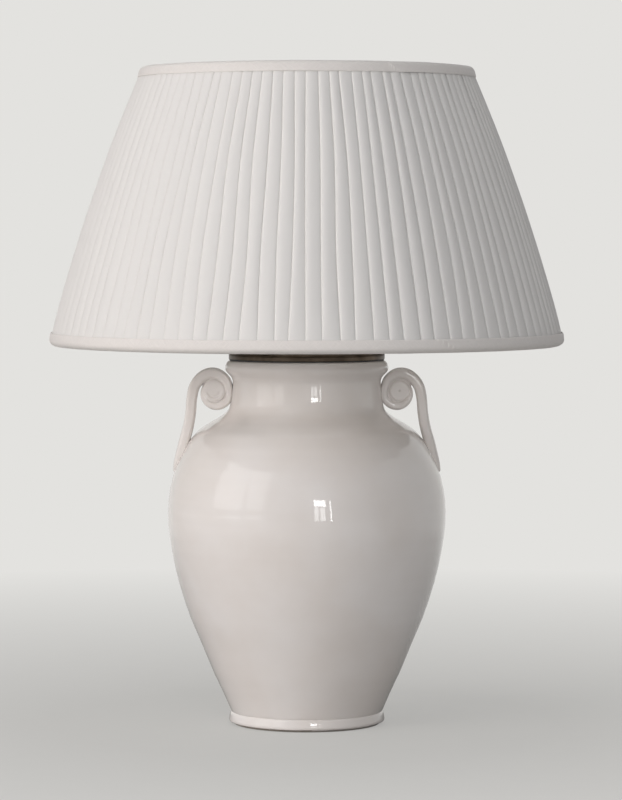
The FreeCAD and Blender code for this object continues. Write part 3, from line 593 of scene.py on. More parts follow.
@dataclass
class Jar:
    """The thrown and glazed jar, its felt pad and its two scroll handles."""

    foot_radius: float = 73.5
    foot_level: float = 1.5
    strip_top: float = 2.0
    floor_under: float = 12.0
    floor_top: float = 19.0
    recess_radius: float = 60.0
    recess_break: float = 3.0
    wiped_level: float = 14.0
    hole_radius: float = 5.5
    mouth_radius: float = 69.5
    mouth_break: float = 1.5
    rim_level: float = 360.0
    # The rings of throwing: their height, their two pitches that beat, and where they fade.
    ring_height: float = 0.10
    ring_pitches: tuple[float, float] = (11.5, 17.3)
    ring_span: tuple[float, float] = (20.0, 316.0)
    ring_fade: float = 30.0
    wobble: float = 0.6
    wobble_size: float = 90.0
    # The cable's hole: its drill, and the way it points out of the wall.
    cable_radius: float = 5.0
    cable_depth: float = 40.0
    cable_way: Point = (0.0, 0.91035, -0.41384)
    # The scroll: its middle, the angle at which the strap comes on to it and how far it turns.
    roll: tuple[float, float] = (88.7, 326.6)
    roll_from: float = 162.0
    roll_by: float = 228.0
    rise_share: float = 0.72
    # The strap closes over this share of its length at each end, and is this near to square.
    tip_share: float = 0.012
    squareness: float = 0.6
    eye: tuple[float, float] = (91.5, 329.4)
    # The grooves are pressed within this radius of the eye, on the faces past this depth.
    scroll_radius: float = 15.0
    scroll_face: float = 4.0
    handle_grid: tuple[int, int] = (28, 260)
    voxel: float = 0.5
    around: int = 192
    up: int = 168
    bead_steps: int = 16
    bead: Outline = field(default_factory=lambda: [
        (74.2, 2.0), (75.9, 2.3), (76.8, 3.2), (76.95, 4.6), (76.7, 6.2), (76.4, 7.8),
        (76.1, 9.2), (75.7, 10.5), (75.2, 11.5), (74.6, 12.1)])
    outside: Outline = field(default_factory=lambda: [
        (74.9, 12.4), (84.3, 33.8), (93.4, 53.4), (105.7, 83.0), (114.2, 103.0),
        (121.8, 125.0), (128.4, 148.0), (133.4, 171.0), (136.6, 193.0), (137.2, 212.0),
        (135.4, 231.0), (131.0, 249.0), (124.6, 264.0), (117.1, 277.6), (108.7, 288.5),
        (97.6, 296.6), (87.6, 302.4), (81.0, 307.0), (77.7, 310.8), (75.95, 315.0),
        (74.95, 319.5), (74.35, 323.5), (73.92, 327.5), (73.55, 332.0), (73.3, 336.5),
        (73.45, 340.0), (74.9, 343.2), (77.4, 346.0), (79.8, 348.8), (80.8, 351.8),
        (80.3, 355.0), (78.4, 358.0), (75.6, 359.7), (73.6, 360.0)])
    inside: Outline = field(default_factory=lambda: [
        (67.0, 345.0), (66.6, 334.0), (69.0, 321.0), (76.0, 305.0), (90.0, 293.0),
        (108.0, 279.0), (122.0, 257.0), (130.0, 215.0), (127.5, 180.0), (120.0, 140.0),
        (108.0, 103.0), (92.0, 65.0), (78.0, 33.0), (69.1, 19.0)])
    # The strap's rise: the middle of it, its half thickness and its half width.
    rise: Sequence[Sequence[float]] = (
        (128.7, 248.5, 3.8, 6.6), (126.8, 256.5, 5.0, 7.6), (124.0, 267.0, 5.5, 8.0),
        (120.6, 280.5, 5.5, 8.1), (116.8, 294.5, 5.4, 8.0), (114.5, 308.5, 5.4, 8.0),
        (113.5, 321.0, 5.4, 8.0), (111.2, 332.4, 5.5, 8.0), (105.2, 341.3, 5.6, 8.0),
        (96.7, 346.2, 5.7, 8.2), (87.4, 345.6, 5.4, 8.3), (79.6, 339.6, 4.6, 8.4),
        (76.4, 331.0, 4.0, 8.4))
    # Its roll: the radius, the half thickness and the half width.
    scroll: Sequence[Sequence[float]] = (
        (12.7, 3.8, 8.4), (12.5, 3.8, 8.4), (12.2, 4.1, 8.4), (12.4, 4.1, 8.3),
        (12.8, 3.6, 8.1), (13.4, 2.9, 7.6), (13.9, 2.1, 6.6))
    # The slug's outer half: radius and half width.
    slug_half: Sequence[tuple[float, float]] = (
        (0.0, 7.3), (5.5, 7.4), (8.3, 7.5), (9.9, 7.1), (11.0, 6.1), (11.8, 4.2), (12.3, 0.0))
    # Each groove's depth, its radius about the eye and its half width.
    grooves: dict[Side, Sequence[Point]] = field(default_factory=lambda: {
        Side.RIGHT: ((1.5, 0.0, 0.7), (1.2, 10.4, 0.8)), Side.LEFT: ((1.5, 6.0, 1.5),)})

    def outer(self) -> Outline:
        """The outline from the foot's edge up to the rim, with the rings of throwing.

        Returns:
            Radius and height of each point.
        """
        swell = [(self.foot_radius, self.foot_level), (self.foot_radius, self.strip_top)]
        swell += [curved(self.bead, step / self.bead_steps) for step in range(self.bead_steps + 1)]
        body = []
        near, far = self.ring_pitches
        start, end = self.ring_span
        for step in range(self.up + 1):
            radius, height = curved(self.outside, step / self.up)
            fade = eased((height - start) / self.ring_fade) * eased((end - height) / self.ring_fade)
            ring = math.sin(height * FULL / near) + 0.7 * math.sin(height * FULL / far + 1.1)
            body.append((radius + self.ring_height * ring * fade, height))
        return swell + body

    def thrown(self) -> Piece:
        """Throw the jar, wipe its foot and drill the hole for the cable.

        Returns:
            The jar.
        """
        wall = self.outer()
        outline = [*wall, (self.mouth_radius + self.mouth_break, self.rim_level),
                   (self.mouth_radius, self.rim_level - self.mouth_break), *self.inside,
                   (self.hole_radius, self.floor_top), (self.hole_radius, self.floor_under),
                   (self.recess_radius - self.recess_break, self.floor_under),
                   (self.recess_radius, self.floor_under - self.recess_break),
                   (self.recess_radius, self.foot_level), wall[0]]
        jar = turned("glazed_jar", outline, self.around)
        low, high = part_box("cable_grommet")
        turn = Vector(self.cable_way).to_track_quat("Z", "Y").to_euler()
        drill = started("cable_drill", bpy.ops.mesh.primitive_cylinder_add, vertices=48,
                        radius=self.cable_radius * MM, depth=self.cable_depth * MM,
                        location=(low + high) / 2, rotation=turn)
        modified(jar, "BOOLEAN", object=drill, operation="DIFFERENCE", solver="EXACT")
        bpy.data.objects.remove(drill)
        texture = bpy.data.textures.new("hand_wobble", "CLOUDS")
        texture.noise_scale = self.wobble_size * MM
        modified(jar, "DISPLACE", texture=texture, texture_coords="LOCAL",
                 strength=self.wobble * MM, mid_level=0.5)
        for finish in (GLAZE, BARE_CLAY):
            jar.data.materials.append(finish.material())
        for face in jar.data.polygons:
            strip = face.center.z < (self.strip_top - 0.2) * MM
            recess = (face.center.z < self.wiped_level * MM
                      and face.center.xy.length < (self.recess_radius + 0.5) * MM)
            face.material_index = int(strip or recess)
        return smoothed(jar)

    def strap(self, share: float) -> tuple[Vector, float, float]:
        """The handle's clay strap at a share of its length: it rises, arches and rolls up.

        Args:
            share: How far along, from the tail to the middle of the scroll.

        Returns:
            The middle of the strap, its half thickness and its half width.
        """
        if share <= self.rise_share:
            x, z, thick, wide = curved(self.rise, share / self.rise_share)
            return Vector((x, 0, z)), thick, wide
        part = (share - self.rise_share) / (1 - self.rise_share)
        angle = math.radians(self.roll_from + self.roll_by * part)
        radius, thick, wide = curved(self.scroll, part)
        return Vector((self.roll[0] + radius * math.cos(angle), 0,
                       self.roll[1] + radius * math.sin(angle))), thick, wide

    def slug(self) -> Piece:
        """Turn the clay disc that the strap rolls round: a flat face with a soft rolled edge.

        Returns:
            The disc, standing at the scroll's middle.
        """
        other = [(radius, -wide) for radius, wide in self.slug_half[-2::-1]]
        disc = turned("clay_slug", [*self.slug_half, *other], 64)
        disc.rotation_euler = (math.pi / 2, 0, 0)
        disc.location = Vector((self.eye[0], 0, self.eye[1])) * MM
        select_only(disc)
        bpy.ops.object.transform_apply()
        return disc

    def groove(self, piece: Piece, side: Side) -> None:
        """Press the grooves of the roll into both faces of a scroll.

        Args:
            piece: The handle.
            side: Its side. The left one's groove runs only below the eye.
        """
        centre = Vector((side.value * self.eye[0], 0, self.eye[1])) * MM
        for vertex in piece.data.vertices:
            way = (vertex.co - centre) / MM
            reach = math.hypot(way.x, way.z)
            if reach < self.scroll_radius and abs(vertex.co.y) > self.scroll_face * MM:
                sink = sum(depth * math.exp(-((reach - radius) / width) ** 2)
                           for depth, radius, width in self.grooves[side])
                if side is Side.LEFT:
                    sink *= max(0.0, -way.z / max(reach, 0.1)) ** 0.7
                vertex.co.y -= math.copysign(sink * MM, vertex.co.y)

    def handle(self, side: Side) -> Piece:
        """Pull and roll one handle, and let the glaze soften it.

        Args:
            side: The side that it stands on.

        Returns:
            The handle.
        """
        def place(across: float, along: float) -> Point:
            """Find a place on the strap's skin.

            Args:
                across: The share round its section.
                along: The share along it.

            Returns:
                The place in millimetres.
            """
            middle, thick, wide = self.strap(along)
            near = 0.002
            ahead = self.strap(min(along + near, 1.0))[0] - self.strap(max(along - near, 0.0))[0]
            normal = Vector((ahead.z, 0, -ahead.x)).normalized()
            angle = across * FULL
            tip = min(min(along, 1 - along) / self.tip_share, 1.0)
            closing = math.sqrt(max(1 - (1 - tip) ** 2, 0.0))
            round_in, round_side = [math.copysign(abs(wave) ** self.squareness, wave)
                                    for wave in (math.cos(angle), math.sin(angle))]
            spot = middle + normal * thick * closing * round_in
            return side.value * spot.x, wide * closing * round_side * side.value, spot.z

        piece = formed(f"scroll_handle_{side.name.lower()}", place, *self.handle_grid,
                       outwards=True)
        disc = self.slug()
        if side is Side.LEFT:
            for vertex in disc.data.vertices:
                vertex.co.x *= -1
            disc.data.flip_normals()
        select_only(disc, piece)
        bpy.ops.object.join()
        modified(piece, "REMESH", mode="VOXEL", voxel_size=self.voxel * MM)
        modified(piece, "SMOOTH", factor=0.5, iterations=3)
        self.groove(piece, side)
        return smoothed(piece, 60)

    def build(self) -> None:
        """Make the jar, the handles and the felt pad."""
        jar = mounted(self.thrown(), "lamp_base", GLAZE, "cream_glaze", "vase_body")
        for side in Side:
            mounted(self.handle(side), "lamp_base", GLAZE, "cream_glaze",
                    f"handle_{side.name.lower()}")
        pad = turned("felt_ring_pad", [(61.2, 0.25), (61.5, 0.0), (71.9, 0.0), (72.3, 0.3),
                                       (72.2, 1.5), (61.3, 1.5), (61.2, 0.25)], 128)
        mounted(pad, "lamp_base", FELT, "wool_felt", "felt_pad")
        dressed(RUBBER, "cable_grommet", "cap_gasket", "base_rubber_washer")
        dressed(ZINC, "base_washer", "base_nut", "tie_rod", "holder_lock_nut", "terminal_screws")
        dressed(BRONZE, "vase_cap", "neck_spindle")


@dataclass
class Holder:
    """The lampholder with its rolled thread, its clamp ring and the shade carrier."""

    shell_radius: float = 13.75
    shell_level: float = 438.4
    shell_turns: int = 5
    shell_wall: float = 0.35
    ring_level: float = 434.1
    flutes: int = 60
    flute_from: float = 23.9
    flute_depth: float = 0.5

    def screw_shell(self) -> Piece:
        """Roll the thin brass screw shell that the bulb turns in.

        Returns:
            The shell.
        """
        shell = threaded("rolled_screw_shell", self.shell_radius, self.shell_level,
                         self.shell_turns)
        return modified(shell, "SOLIDIFY", thickness=self.shell_wall * MM, offset=1.0)

    def clamp_ring(self) -> Piece:
        """Turn the clamp ring and flute its edge for the fingers.

        Returns:
            The ring.
        """
        outline = [(20.1, 0.0), (23.4, 0.0), (24.1, 0.7), (24.1, 6.4), (22.8, 7.8), (21.4, 8.0),
                   (20.1, 8.0)]
        ring = turned("fluted_clamp_ring", [(radius, height + self.ring_level)
                                            for radius, height in [*outline, outline[0]]],
                      self.flutes * 6)
        for vertex in ring.data.vertices:
            reach = vertex.co.xy.length / MM
            if reach > self.flute_from:
                angle = math.atan2(vertex.co.y, vertex.co.x)
                cut = self.flute_depth * max(0.0, math.cos(angle * self.flutes))
                vertex.co.xy *= (reach - cut) / reach
        return ring

    def build(self) -> None:
        """Make the holder's formed pieces and dress the rest."""
        mounted(self.screw_shell(), "lamp_base", BRASS, "satin_brass", "screw_shell")
        mounted(self.clamp_ring(), "shade_clamp", BRASS, "satin_brass", "shade_ring")
        dressed(BRASS, "holder_base_cup", "switch_body", "switch_bar", "holder_skirt",
                "centre_contact", "switch_bridge")
        dressed(PORCELAIN, "holder_block")
        dressed(ENAMEL, "carrier_plate", "carrier_arms", "carrier_duplex_ring")


@dataclass
class Bulb:
    """The clear bulb: envelope, stem, coiled filament and threaded cap."""

    # The globe's radius and centre, and the angle at which it runs into the neck.
    radius: float = 29.9
    centre: float = 516.4
    shoulder: float = -36.0
    globe_steps: int = 32
    neck: float = 12.5
    neck_level: float = 490.0
    neck_steps: int = 24
    glass_level: float = 463.6
    wall: float = 0.8
    cap_level: float = 445.6
    cap_wall: float = 0.3
    thread_radius: float = 12.75
    thread_level: float = 449.6
    thread_turns: int = 4
    wire_path: Sequence[tuple[float, float]] = (
        (-2.0, 499.4), (-5.5, 507.0), (-10.0, 520.0), (-7.4, 517.6), (-3.6, 514.4), (0.0, 513.0),
        (3.6, 514.4), (7.4, 517.6), (10.0, 520.0), (5.5, 507.0), (2.0, 499.4))
    # The coil: where it lies along the wire, its turns, its radius and the two wires' own.
    coiled: tuple[float, float] = (0.22, 0.78)
    coil_turns: int = 90
    coil_radius: float = 0.45
    coil_wire: float = 0.14
    lead_wire: float = 0.3
    wire_grid: tuple[int, int] = (6, 1800)

    def envelope(self) -> Piece:
        """Blow the envelope: a globe that runs down into its neck.

        Returns:
            The glass.
        """
        flare = [(self.neck, self.glass_level), (self.neck, self.glass_level + 6),
                 (12.9, 474.5), (14.4, 481.5), (17.9, 489.2), (22.0, 495.8)]
        below = [tuple(curved(flare, step / self.neck_steps))
                 for step in range(self.neck_steps + 1)]
        globe = []
        for step in range(1, self.globe_steps):
            angle = math.radians(self.shoulder + (90 - self.shoulder) * step / self.globe_steps)
            globe.append((self.radius * math.cos(angle),
                          self.centre + self.radius * math.sin(angle)))
        outside = below + globe + [(0.0, self.centre + self.radius)]
        shrink = 1 - self.wall / self.radius
        inside = [(max(radius - self.wall, 0.0), height if height < self.neck_level else
                   self.centre + (height - self.centre) * shrink)
                  for radius, height in reversed(outside)]
        return turned("blown_envelope", outside + inside + [outside[0]])

    def cap(self) -> Piece:
        """Roll the cap's thread between its cone and its upper band.

        Returns:
            The cap.
        """
        thread = threaded("rolled_bulb_cap", self.thread_radius, self.thread_level,
                          self.thread_turns)
        modified(thread, "SOLIDIFY", thickness=self.cap_wall * MM, offset=-1.0)
        body = turned("cap_body", [(0.0, self.cap_level), (8.5, self.cap_level), (12.2, 449.2),
                                   (12.2, 464.2), (13.0, 465.0), (13.1, 467.2), (12.6, 467.6),
                                   (0.0, 467.4)], 64)
        select_only(body, thread)
        bpy.ops.object.join()
        return smoothed(thread)

    def filament(self) -> Piece:
        """Wind the coiled filament between its two leads.

        Returns:
            The filament.
        """
        def place(across: float, along: float) -> Point:
            """Find a place on the wire's skin.

            Args:
                across: The share round its section.
                along: The share along it.

            Returns:
                The place in millimetres.
            """
            near = 0.001
            x, z = curved(self.wire_path, along)
            ahead = Vector(curved(self.wire_path, min(along + near, 1))) - Vector(
                curved(self.wire_path, max(along - near, 0)))
            ahead.normalize()
            aside, back = Vector((-ahead.y, 0, ahead.x)), Vector((0, 1, 0))
            turn, angle = along * FULL * self.coil_turns, -across * FULL
            centre, wire = Vector((x, 0, z)), 0.0 if along in (0.0, 1.0) else self.lead_wire
            if self.coiled[0] < along < self.coiled[1]:
                centre += self.coil_radius * (aside * math.cos(turn) + back * math.sin(turn))
                wire = self.coil_wire
            return tuple(centre + wire * (aside * math.cos(angle) + back * math.sin(angle)))

        return formed("coiled_filament", place, *self.wire_grid)

    def build(self) -> None:
        """Make the bulb's pieces."""
        mounted(self.envelope(), "bulb", GLASS, "bulb_glass", "bulb_glass")
        mounted(self.cap(), "bulb", NICKEL, "bulb_cap_metal", "bulb_cap")
        mounted(self.filament(), "bulb", TUNGSTEN, "tungsten", "bulb_filament")
        dressed(GLASS, "bulb_stem")
        dressed(NICKEL, "bulb_contact")
        dressed(CAP_GLASS, "bulb_insulator")


@dataclass
class Shade:
    """The empire shade: pleated linen cover, lining, folded trims and wire frame."""

    low: float = 374.0
    height: float = 274.0
    low_radius: float = 253.1
    high_radius: float = 162.8
    bow: float = 5.6
    pleats: int = 100
    depth: float = 2.7
    cloth_width: float = 1.90
    cloth_height: float = 0.286
    cloth_wall: float = 0.3
    under_top: float = 3.5
    under_bottom: float = 4.0
    under_skin: float = 0.2
    # A pleat's face takes this many pitches of its cloth, and a lap is at least so wide.
    face_share: float = 1.12
    least_lap: float = 0.35
    # What makes the folding uneven: shares of a pitch, of the depth and of the section's turn.
    stray: float = 0.13
    lift: tuple[float, float] = (0.65, 1.15)
    skew: tuple[float, float] = (-0.10, 0.14)
    puff: float = 0.14
    # Under the trims the pleats are pressed to this share of their depth.
    pressed: float = 0.50
    press_reach: float = 0.12
    # The trims' strips: their wall, their columns, and the lapped seam where these are closer.
    strip_wall: float = 0.45
    strip_columns: int = 520
    seam_columns: int = 120
    seam_reach: float = 0.14
    seam_height: float = 0.75
    seam_step: float = 0.6
    seam_length: float = 14.0
    seam_fade: float = 22.0
    # How far a strip waves in and out and up and down, and how far the pleats show in it.
    strip_waves: tuple[float, float] = (0.12, 0.07)
    edge_waves: tuple[float, float] = (0.30, 0.15)
    telling: float = 0.08
    # The lining: how far it lies inside the folds, its map, its wall, its seam and its puckers.
    lining_depth: float = 6.15
    lining_width: float = 1.45
    lining_wall: float = 0.4
    lining_edge: float = 1.2
    lining_seam: float = 1.2
    pucker: float = 0.35
    pucker_reach: float = 0.16
    top_edge: Outline = field(default_factory=lambda: [
        (165.5, 637.6), (166.0, 637.2), (166.4, 637.8), (166.1, 639.6), (165.5, 641.8),
        (164.9, 643.8), (164.1, 645.4), (162.8, 646.8), (161.0, 647.6), (158.8, 647.8),
        (156.8, 647.2), (155.6, 645.4), (155.8, 641.5), (156.7, 639.0)])
    bottom_edge: Outline = field(default_factory=lambda: [
        (251.2, 387.1), (252.0, 387.4), (252.6, 386.8), (253.0, 384.6), (253.4, 381.8),
        (253.5, 379.6), (253.1, 377.8), (251.8, 376.3), (250.1, 375.2), (248.2, 374.4),
        (246.2, 374.1), (244.7, 374.7), (244.2, 376.4), (244.1, 379.0), (243.4, 383.0)])
    section: Outline = field(default_factory=lambda: [
        (0.0, 1.0), (0.025, 0.62), (0.07, 0.36), (0.15, 0.15), (0.27, 0.02), (0.40, 0.0),
        (0.54, 0.05), (0.68, 0.18), (0.81, 0.36), (0.92, 0.56), (0.98, 0.78), (1.0, 1.0)])
    # The fold behind the next pleat: its share of the lap and its depth.
    tuck: Sequence[tuple[float, float]] = ((1.0, 1.18), (0.9, 1.08))
    fullness: Sequence[float] = (0.6, 1.4, 1.3, 1.05, 0.85, 0.62, 0.42, 0.2, -0.3, -0.85, -1.3)

    def skin(self, share: float) -> float:
        """The radius of the pleats' folds at a share of the shade's height."""
        return (self.low_radius + (self.high_radius - self.low_radius) * share
                + 4 * self.bow * share * (1 - share))

    def cover(self) -> Piece:
        """Fold the pleats, each puffed and lapped in its crease, by hand and so not quite even.

        Returns:
            The cover.
        """
        hand = random.Random(SEED)
        shift = [[hand.uniform(-self.stray, self.stray) for _ in range(self.pleats)]
                 for _ in range(4)]
        lift = [[hand.uniform(*self.lift) for _ in range(self.pleats)] for _ in range(2)]
        skew = [[hand.uniform(*self.skew) for _ in range(self.pleats)] for _ in range(2)]
        points = len(self.section) + len(self.tuck)
        start, end = self.under_bottom / self.height, 1 - self.under_top / self.height

        def place(across: float, along: float) -> Point:
            """Find a place on the folded cloth.

            Args:
                across: The share round the shade.
                along: The share up it.

            Returns:
                The place in millimetres.
            """
            column = round(across * self.pleats * points)
            whole, spot = divmod(column, points)
            pleat, following = whole % self.pleats, (whole + 1) % self.pleats
            share = start + (end - start) * along
            pitch = FULL * self.skin(share) / self.pleats
            cloth = self.cloth_width / MM / self.pleats
            lap = max((cloth - pitch * self.face_share) / 2, self.least_lap) / pitch
            if spot < len(self.section):
                step, sunk = self.section[spot]
                turn = skew[0][pleat] + (skew[1][pleat] - skew[0][pleat]) * share
                step += 4 * turn * step * (1 - step)
            else:
                part, sunk = self.tuck[spot - len(self.section)]
                step = 1.0 + lap * part
            first, last = [curved([[row[which]] for row in shift], share)[0]
                           for which in (pleat, following)]
            lean = first + (last - first) * eased(step)
            amount = lift[0][pleat] + (lift[1][pleat] - lift[0][pleat]) * share
            free = eased((min(share, 1 - share) - 0.02) / self.press_reach)
            pressed = self.pressed + (1 - self.pressed) * free
            ripple = self.puff * noise.noise((pleat * 3.7 + step, share * 7.0, 2.0))
            radius = (self.skin(share) + curved([[more] for more in self.fullness], share)[0]
                      - self.under_skin - self.depth * amount * pressed * sunk + ripple)
            angle = FRONT + FULL * (whole + step + lean) / self.pleats
            return (radius * math.cos(angle), radius * math.sin(angle),
                    self.low + self.height * share)

        cover = formed("pleated_cover", place, self.pleats * points, 26,
                       (self.cloth_width, self.cloth_height))
        return modified(cover, "SOLIDIFY", thickness=self.cloth_wall * MM, offset=-1.0)

    def trim(self, name: str, outline: Outline, seam: float, slant: float) -> Piece:
        """Fold a bias strip over an edge of the shade, its end lapped over its start.

        Args:
            name: The piece's name.
            outline: Radius and height of its section, from its outer edge to its inner one.
            seam: Where the lap is, as an angle.
            slant: How far the lap leans for each millimetre of height.

        Returns:
            The strip.
        """
        middle = (outline[0][1] + outline[6][1]) / 2
        low, high = self.low + 0.05, self.low + self.height - 0.05

        def place(across: float, along: float) -> Point:
            """Find a place on the strip, whose columns are closer together at its seam.

            Args:
                across: The share round the shade.
                along: The share across the strip.

            Returns:
                The place in millimetres.
            """
            at = across * self.strip_columns
            if at <= self.seam_columns:
                angle = seam - self.seam_reach / 2 + self.seam_reach * at / self.seam_columns
            else:
                part = (at - self.seam_columns) / (self.strip_columns - self.seam_columns)
                angle = seam + self.seam_reach / 2 + (FULL - self.seam_reach) * part
            radius, level = outline[round(along * (len(outline) - 1))]
            wave = noise.noise((math.cos(angle) * 3.1, math.sin(angle) * 3.1, middle))
            quick = noise.noise((math.cos(angle) * 16, math.sin(angle) * 16, middle + 9))
            past = (angle - seam) * radius + slant * (level - middle)
            lapped = self.seam_height * eased(past / self.seam_step + 0.5) * (
                1 - eased((past - self.seam_length) / self.seam_fade))
            tell = self.telling * math.sin(angle * self.pleats) * (1 - along)
            outer = 1 - eased((along - 0.45) / 0.2)
            slow_in, quick_in = self.strip_waves
            slow_up, quick_up = self.edge_waves
            radius += outer * (lapped + slow_in * wave + quick_in * quick + tell)
            level += slow_up * wave + quick_up * quick
            return radius * math.cos(angle), radius * math.sin(angle), min(max(level, low), high)

        length = sum(math.dist(first, second) for first, second in zip(outline, outline[1:]))
        strip = formed(name, place, self.strip_columns, len(outline) - 1,
                       (FULL * outline[0][0] * MM, length * MM), outwards=True)
        LOG.info("%s: %.1f mm wide", name, length)
        modified(strip, "SUBSURF", levels=1, render_levels=1)
        return modified(strip, "SOLIDIFY", thickness=self.strip_wall * MM, offset=-1.0)

    def lining(self) -> Piece:
        """Stretch the lining inside the frame, with soft puckers near its edges.

        Returns:
            The lining.
        """
        edge = self.lining_edge / self.height

        def place(across: float, along: float) -> Point:
            """Find a place on the lining.

            Args:
                across: The share round the shade.
                along: The share up it.

            Returns:
                The place in millimetres.
            """
            share = edge + (1 - 2 * edge) * along
            angle = FULL * across
            pucker = noise.noise((math.cos(angle) * 22, math.sin(angle) * 22, 0.0))
            tight = self.pucker * (1 - eased(min(share, 1 - share) / self.pucker_reach))
            seam = 0.5 * math.exp(-(math.remainder(angle - self.lining_seam, FULL) * 110) ** 2)
            radius = self.skin(share) - self.lining_depth + pucker * tight - seam
            return (radius * math.cos(angle), radius * math.sin(angle),
                    self.low + self.height * share)

        lining = formed("stretched_lining", place, 360, 22,
                        (self.lining_width, self.cloth_height))
        return modified(lining, "SOLIDIFY", thickness=self.lining_wall * MM, offset=-1.0)

    def build(self) -> None:
        """Make the shade's cloth and dress its frame."""
        cover = mounted(self.cover(), "shade", LINEN, "pleated_linen", "shade_cover")
        lining = mounted(self.lining(), "shade", LINING, "lining_cloth", "shade_lining")
        tops = self.trim("top_bias_trim", self.top_edge, math.radians(-60), 1.3)
        lows = self.trim("bottom_bias_trim", self.bottom_edge, math.radians(-59), 2.2)
        mounted(tops, "shade", TRIM_LINEN, "trim_linen", "top_trim")
        mounted(lows, "shade", TRIM_LINEN, "trim_linen", "bottom_trim")
        dressed(ENAMEL, "frame_top_ring", "frame_bottom_ring", "frame_struts", "spider_ring",
                "spider_arms")


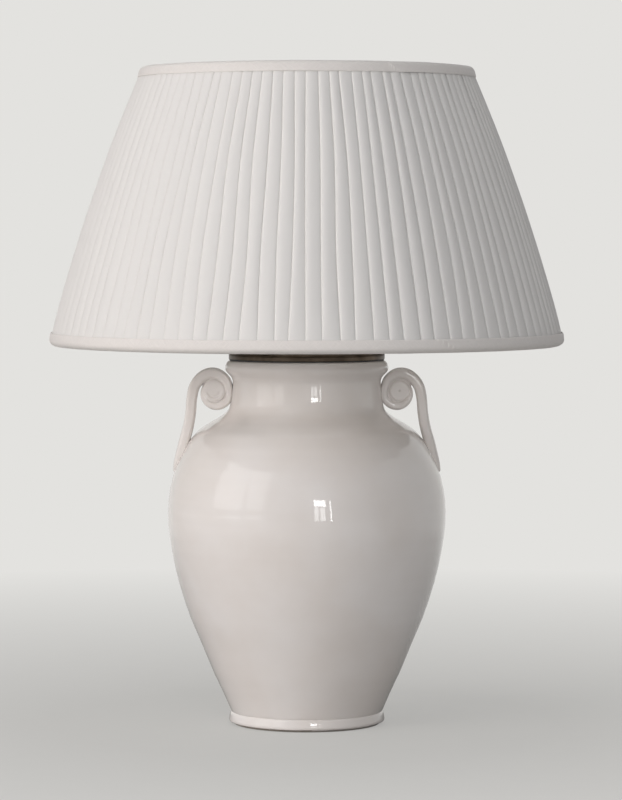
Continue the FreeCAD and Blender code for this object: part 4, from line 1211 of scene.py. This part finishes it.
@dataclass
class Studio:
    """The photograph's camera, a plain pale floor and soft light from the front left."""

    distance: float = 3.58
    eye: float = 0.499
    aim: Point = (0.0042, 0.0, 0.320)
    middle: Point = (0.0, 0.0, 0.33)
    lens: float = 163.3
    sensor: float = 36.0
    floor_radius: float = 6.0
    floor_fade: tuple[float, float] = (0.25, 1.6)
    pale: str = "#E3E2DF"
    paint: str = "#BDBCB9"

    def camera(self) -> None:
        """Set the camera where the photograph was taken from."""
        data = bpy.data.cameras.new("photograph")
        data.lens = self.lens
        data.sensor_width = self.sensor
        camera = bpy.data.objects.new("photograph", data)
        bpy.context.collection.objects.link(camera)
        camera.location = (self.aim[0], -self.distance, self.eye)
        look = Vector(self.aim) - camera.location
        camera.rotation_euler = look.to_track_quat("-Z", "Y").to_euler()
        bpy.context.scene.camera = camera

    def floor(self) -> None:
        """Lay the pale floor."""
        floor = started("pale_floor", bpy.ops.mesh.primitive_circle_add, vertices=96,
                        radius=self.floor_radius, fill_type="NGON")
        made = Finish("pale_floor_paint", self.paint, self.paint, 0.75, grain_mm=30,
                      grain_depth_mm=0.05).material()
        tree = made.node_tree
        place = add(tree, "TexCoord").outputs["Object"]
        reach = add(tree, "VectorMath", {"operation": "LENGTH"}, {0: place}).outputs["Value"]
        start, end = self.floor_fade
        far, near = [add(tree, "MapRange", {"From Min": start, "From Max": end, "To Min": least},
                         {"Value": reach}) for least in (0.0, 0.45)]
        path = add(tree, "LightPath").outputs
        mirror = add(tree, "Math", {"operation": "MAXIMUM"},
                     {0: path["Is Glossy Ray"], 1: path["Is Transmission Ray"]})
        shown = add(tree, "Math", {"operation": "MULTIPLY"},
                    {0: far.outputs["Result"], 1: mirror.outputs["Value"]})
        seen = add(tree, "Math", {"operation": "MULTIPLY"},
                   {0: near.outputs["Result"], 1: path["Is Camera Ray"]})
        amount = add(tree, "Math", {"operation": "MAXIMUM"},
                     {0: shown.outputs["Value"], 1: seen.outputs["Value"]}).outputs["Value"]
        glow = add(tree, "Emission", {"Color": linear(self.pale)}).outputs["Emission"]
        mix = add(tree, "MixShader", {}, {0: amount, 1: tree.nodes["Principled BSDF"].outputs[0],
                                          2: glow}).outputs["Shader"]
        tree.links.new(mix, tree.nodes["Material Output"].inputs["Surface"])
        floor.data.materials.append(made)

    def lamp(self, name: str, place: Point, size: tuple[float, float], power: float,
             colour: str = "#FFFFFF", mirrored: bool = True, lit: bool = True) -> None:
        """Hang a soft rectangular light that faces the lamp's middle.

        Args:
            name: The light's name.
            place: Where it hangs, in metres.
            size: Its width and height in metres.
            power: Its power in watts.
            colour: Its colour.
            mirrored: Whether glossy surfaces show it.
            lit: Whether it lights the surfaces too.
        """
        data = bpy.data.lights.new(name, "AREA")
        data.shape = "RECTANGLE"
        data.size, data.size_y = size
        data.energy = power
        data.color = linear(colour)[:3]
        light = bpy.data.objects.new(name, data)
        bpy.context.collection.objects.link(light)
        light.location = place
        look = Vector(self.middle) - light.location
        light.rotation_euler = look.to_track_quat("-Z", "Y").to_euler()
        light.visible_glossy = mirrored
        light.visible_diffuse = lit

    def world(self) -> None:
        """Light the world softly, and show it pale to the camera and in reflections."""
        world = bpy.data.worlds.new("pale_room")
        bpy.context.scene.world = world
        world.use_nodes = True
        tree = world.node_tree
        tree.nodes.clear()
        path = add(tree, "LightPath")
        seen = add(tree, "Math", {"operation": "MAXIMUM"},
                   {0: path.outputs["Is Camera Ray"], 1: path.outputs["Is Transmission Ray"]})
        seen = add(tree, "Math", {"operation": "MAXIMUM"},
                   {0: seen.outputs["Value"], 1: path.outputs["Is Glossy Ray"]})
        way = add(tree, "SeparateXYZ", {}, {"Vector": add(tree, "TexCoord").outputs["Generated"]})
        side = add(tree, "MapRange", {"From Min": -0.8, "From Max": 0.8, "To Min": 0.44,
                                      "To Max": 0.24}, {"Value": way.outputs["X"]})
        back = add(tree, "MapRange", {"From Min": -0.6, "From Max": 0.1, "To Min": 0.5,
                                      "To Max": 1.0}, {"Value": way.outputs["Y"]})
        soft = add(tree, "Background", {"Color": linear("#F6F6F8")},
                   {"Strength": side.outputs["Result"]})
        full = add(tree, "Math", {"operation": "MAXIMUM"},
                   {0: back.outputs["Result"], 1: path.outputs["Is Camera Ray"]})
        pale = add(tree, "Background", {"Color": linear(self.pale)},
                   {"Strength": full.outputs["Value"]})
        mix = add(tree, "MixShader", {}, {0: seen.outputs["Value"], 1: soft.outputs["Background"],
                                          2: pale.outputs["Background"]})
        add(tree, "OutputWorld", {}, {"Surface": mix.outputs["Shader"]})

    def build(self) -> None:
        """Set the camera, the floor and the lights."""
        self.camera()
        self.floor()
        self.world()
        self.lamp("left_softbox", (-2.9, -1.7, 0.90), (1.8, 1.4), 36.0, "#FFF8F4", False)
        self.lamp("left_window", (-2.2, -2.6, 1.15), (1.7, 2.2), 17.0, mirrored=False)
        self.lamp("near_left_pane", (-2.31, -2.50, 1.55), (0.99, 2.6), 9.4, lit=False)
        self.lamp("far_left_pane", (-3.16, -1.25, 1.55), (1.81, 2.6), 17.2, lit=False)
        self.lamp("front_fill", (0.35, -3.6, 0.8), (1.4, 1.4), 8.0, "#F8FAFF", False)
        for side, up, wide, tall, power in ((0.93, 1.24, 0.81, 0.38, 14.0),
                                            (0.68, 0.66, 0.28, 0.66, 3.0),
                                            (1.10, 0.66, 0.34, 0.66, 4.0),
                                            (1.69, 0.80, 0.10, 1.25, 4.0)):
            self.lamp("window_pane", (side, -4.6, up), (wide, tall), power)
        self.lamp("overhead", (0.0, -0.6, 2.6), (1.8, 1.8), 5.0, mirrored=False)
        bpy.context.scene.view_settings.view_transform = "Standard"


def main() -> None:
    """Build the lamp's sub-assemblies in order and light them."""
    logging.basicConfig(level=logging.INFO, format="%(message)s")
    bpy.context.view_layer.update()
    for part in (Studio(), Jar(), Holder(), Bulb(), Shade()):
        part.build()
        LOG.info("%s done", type(part).__name__)


if __name__ == "__main__":
    main()
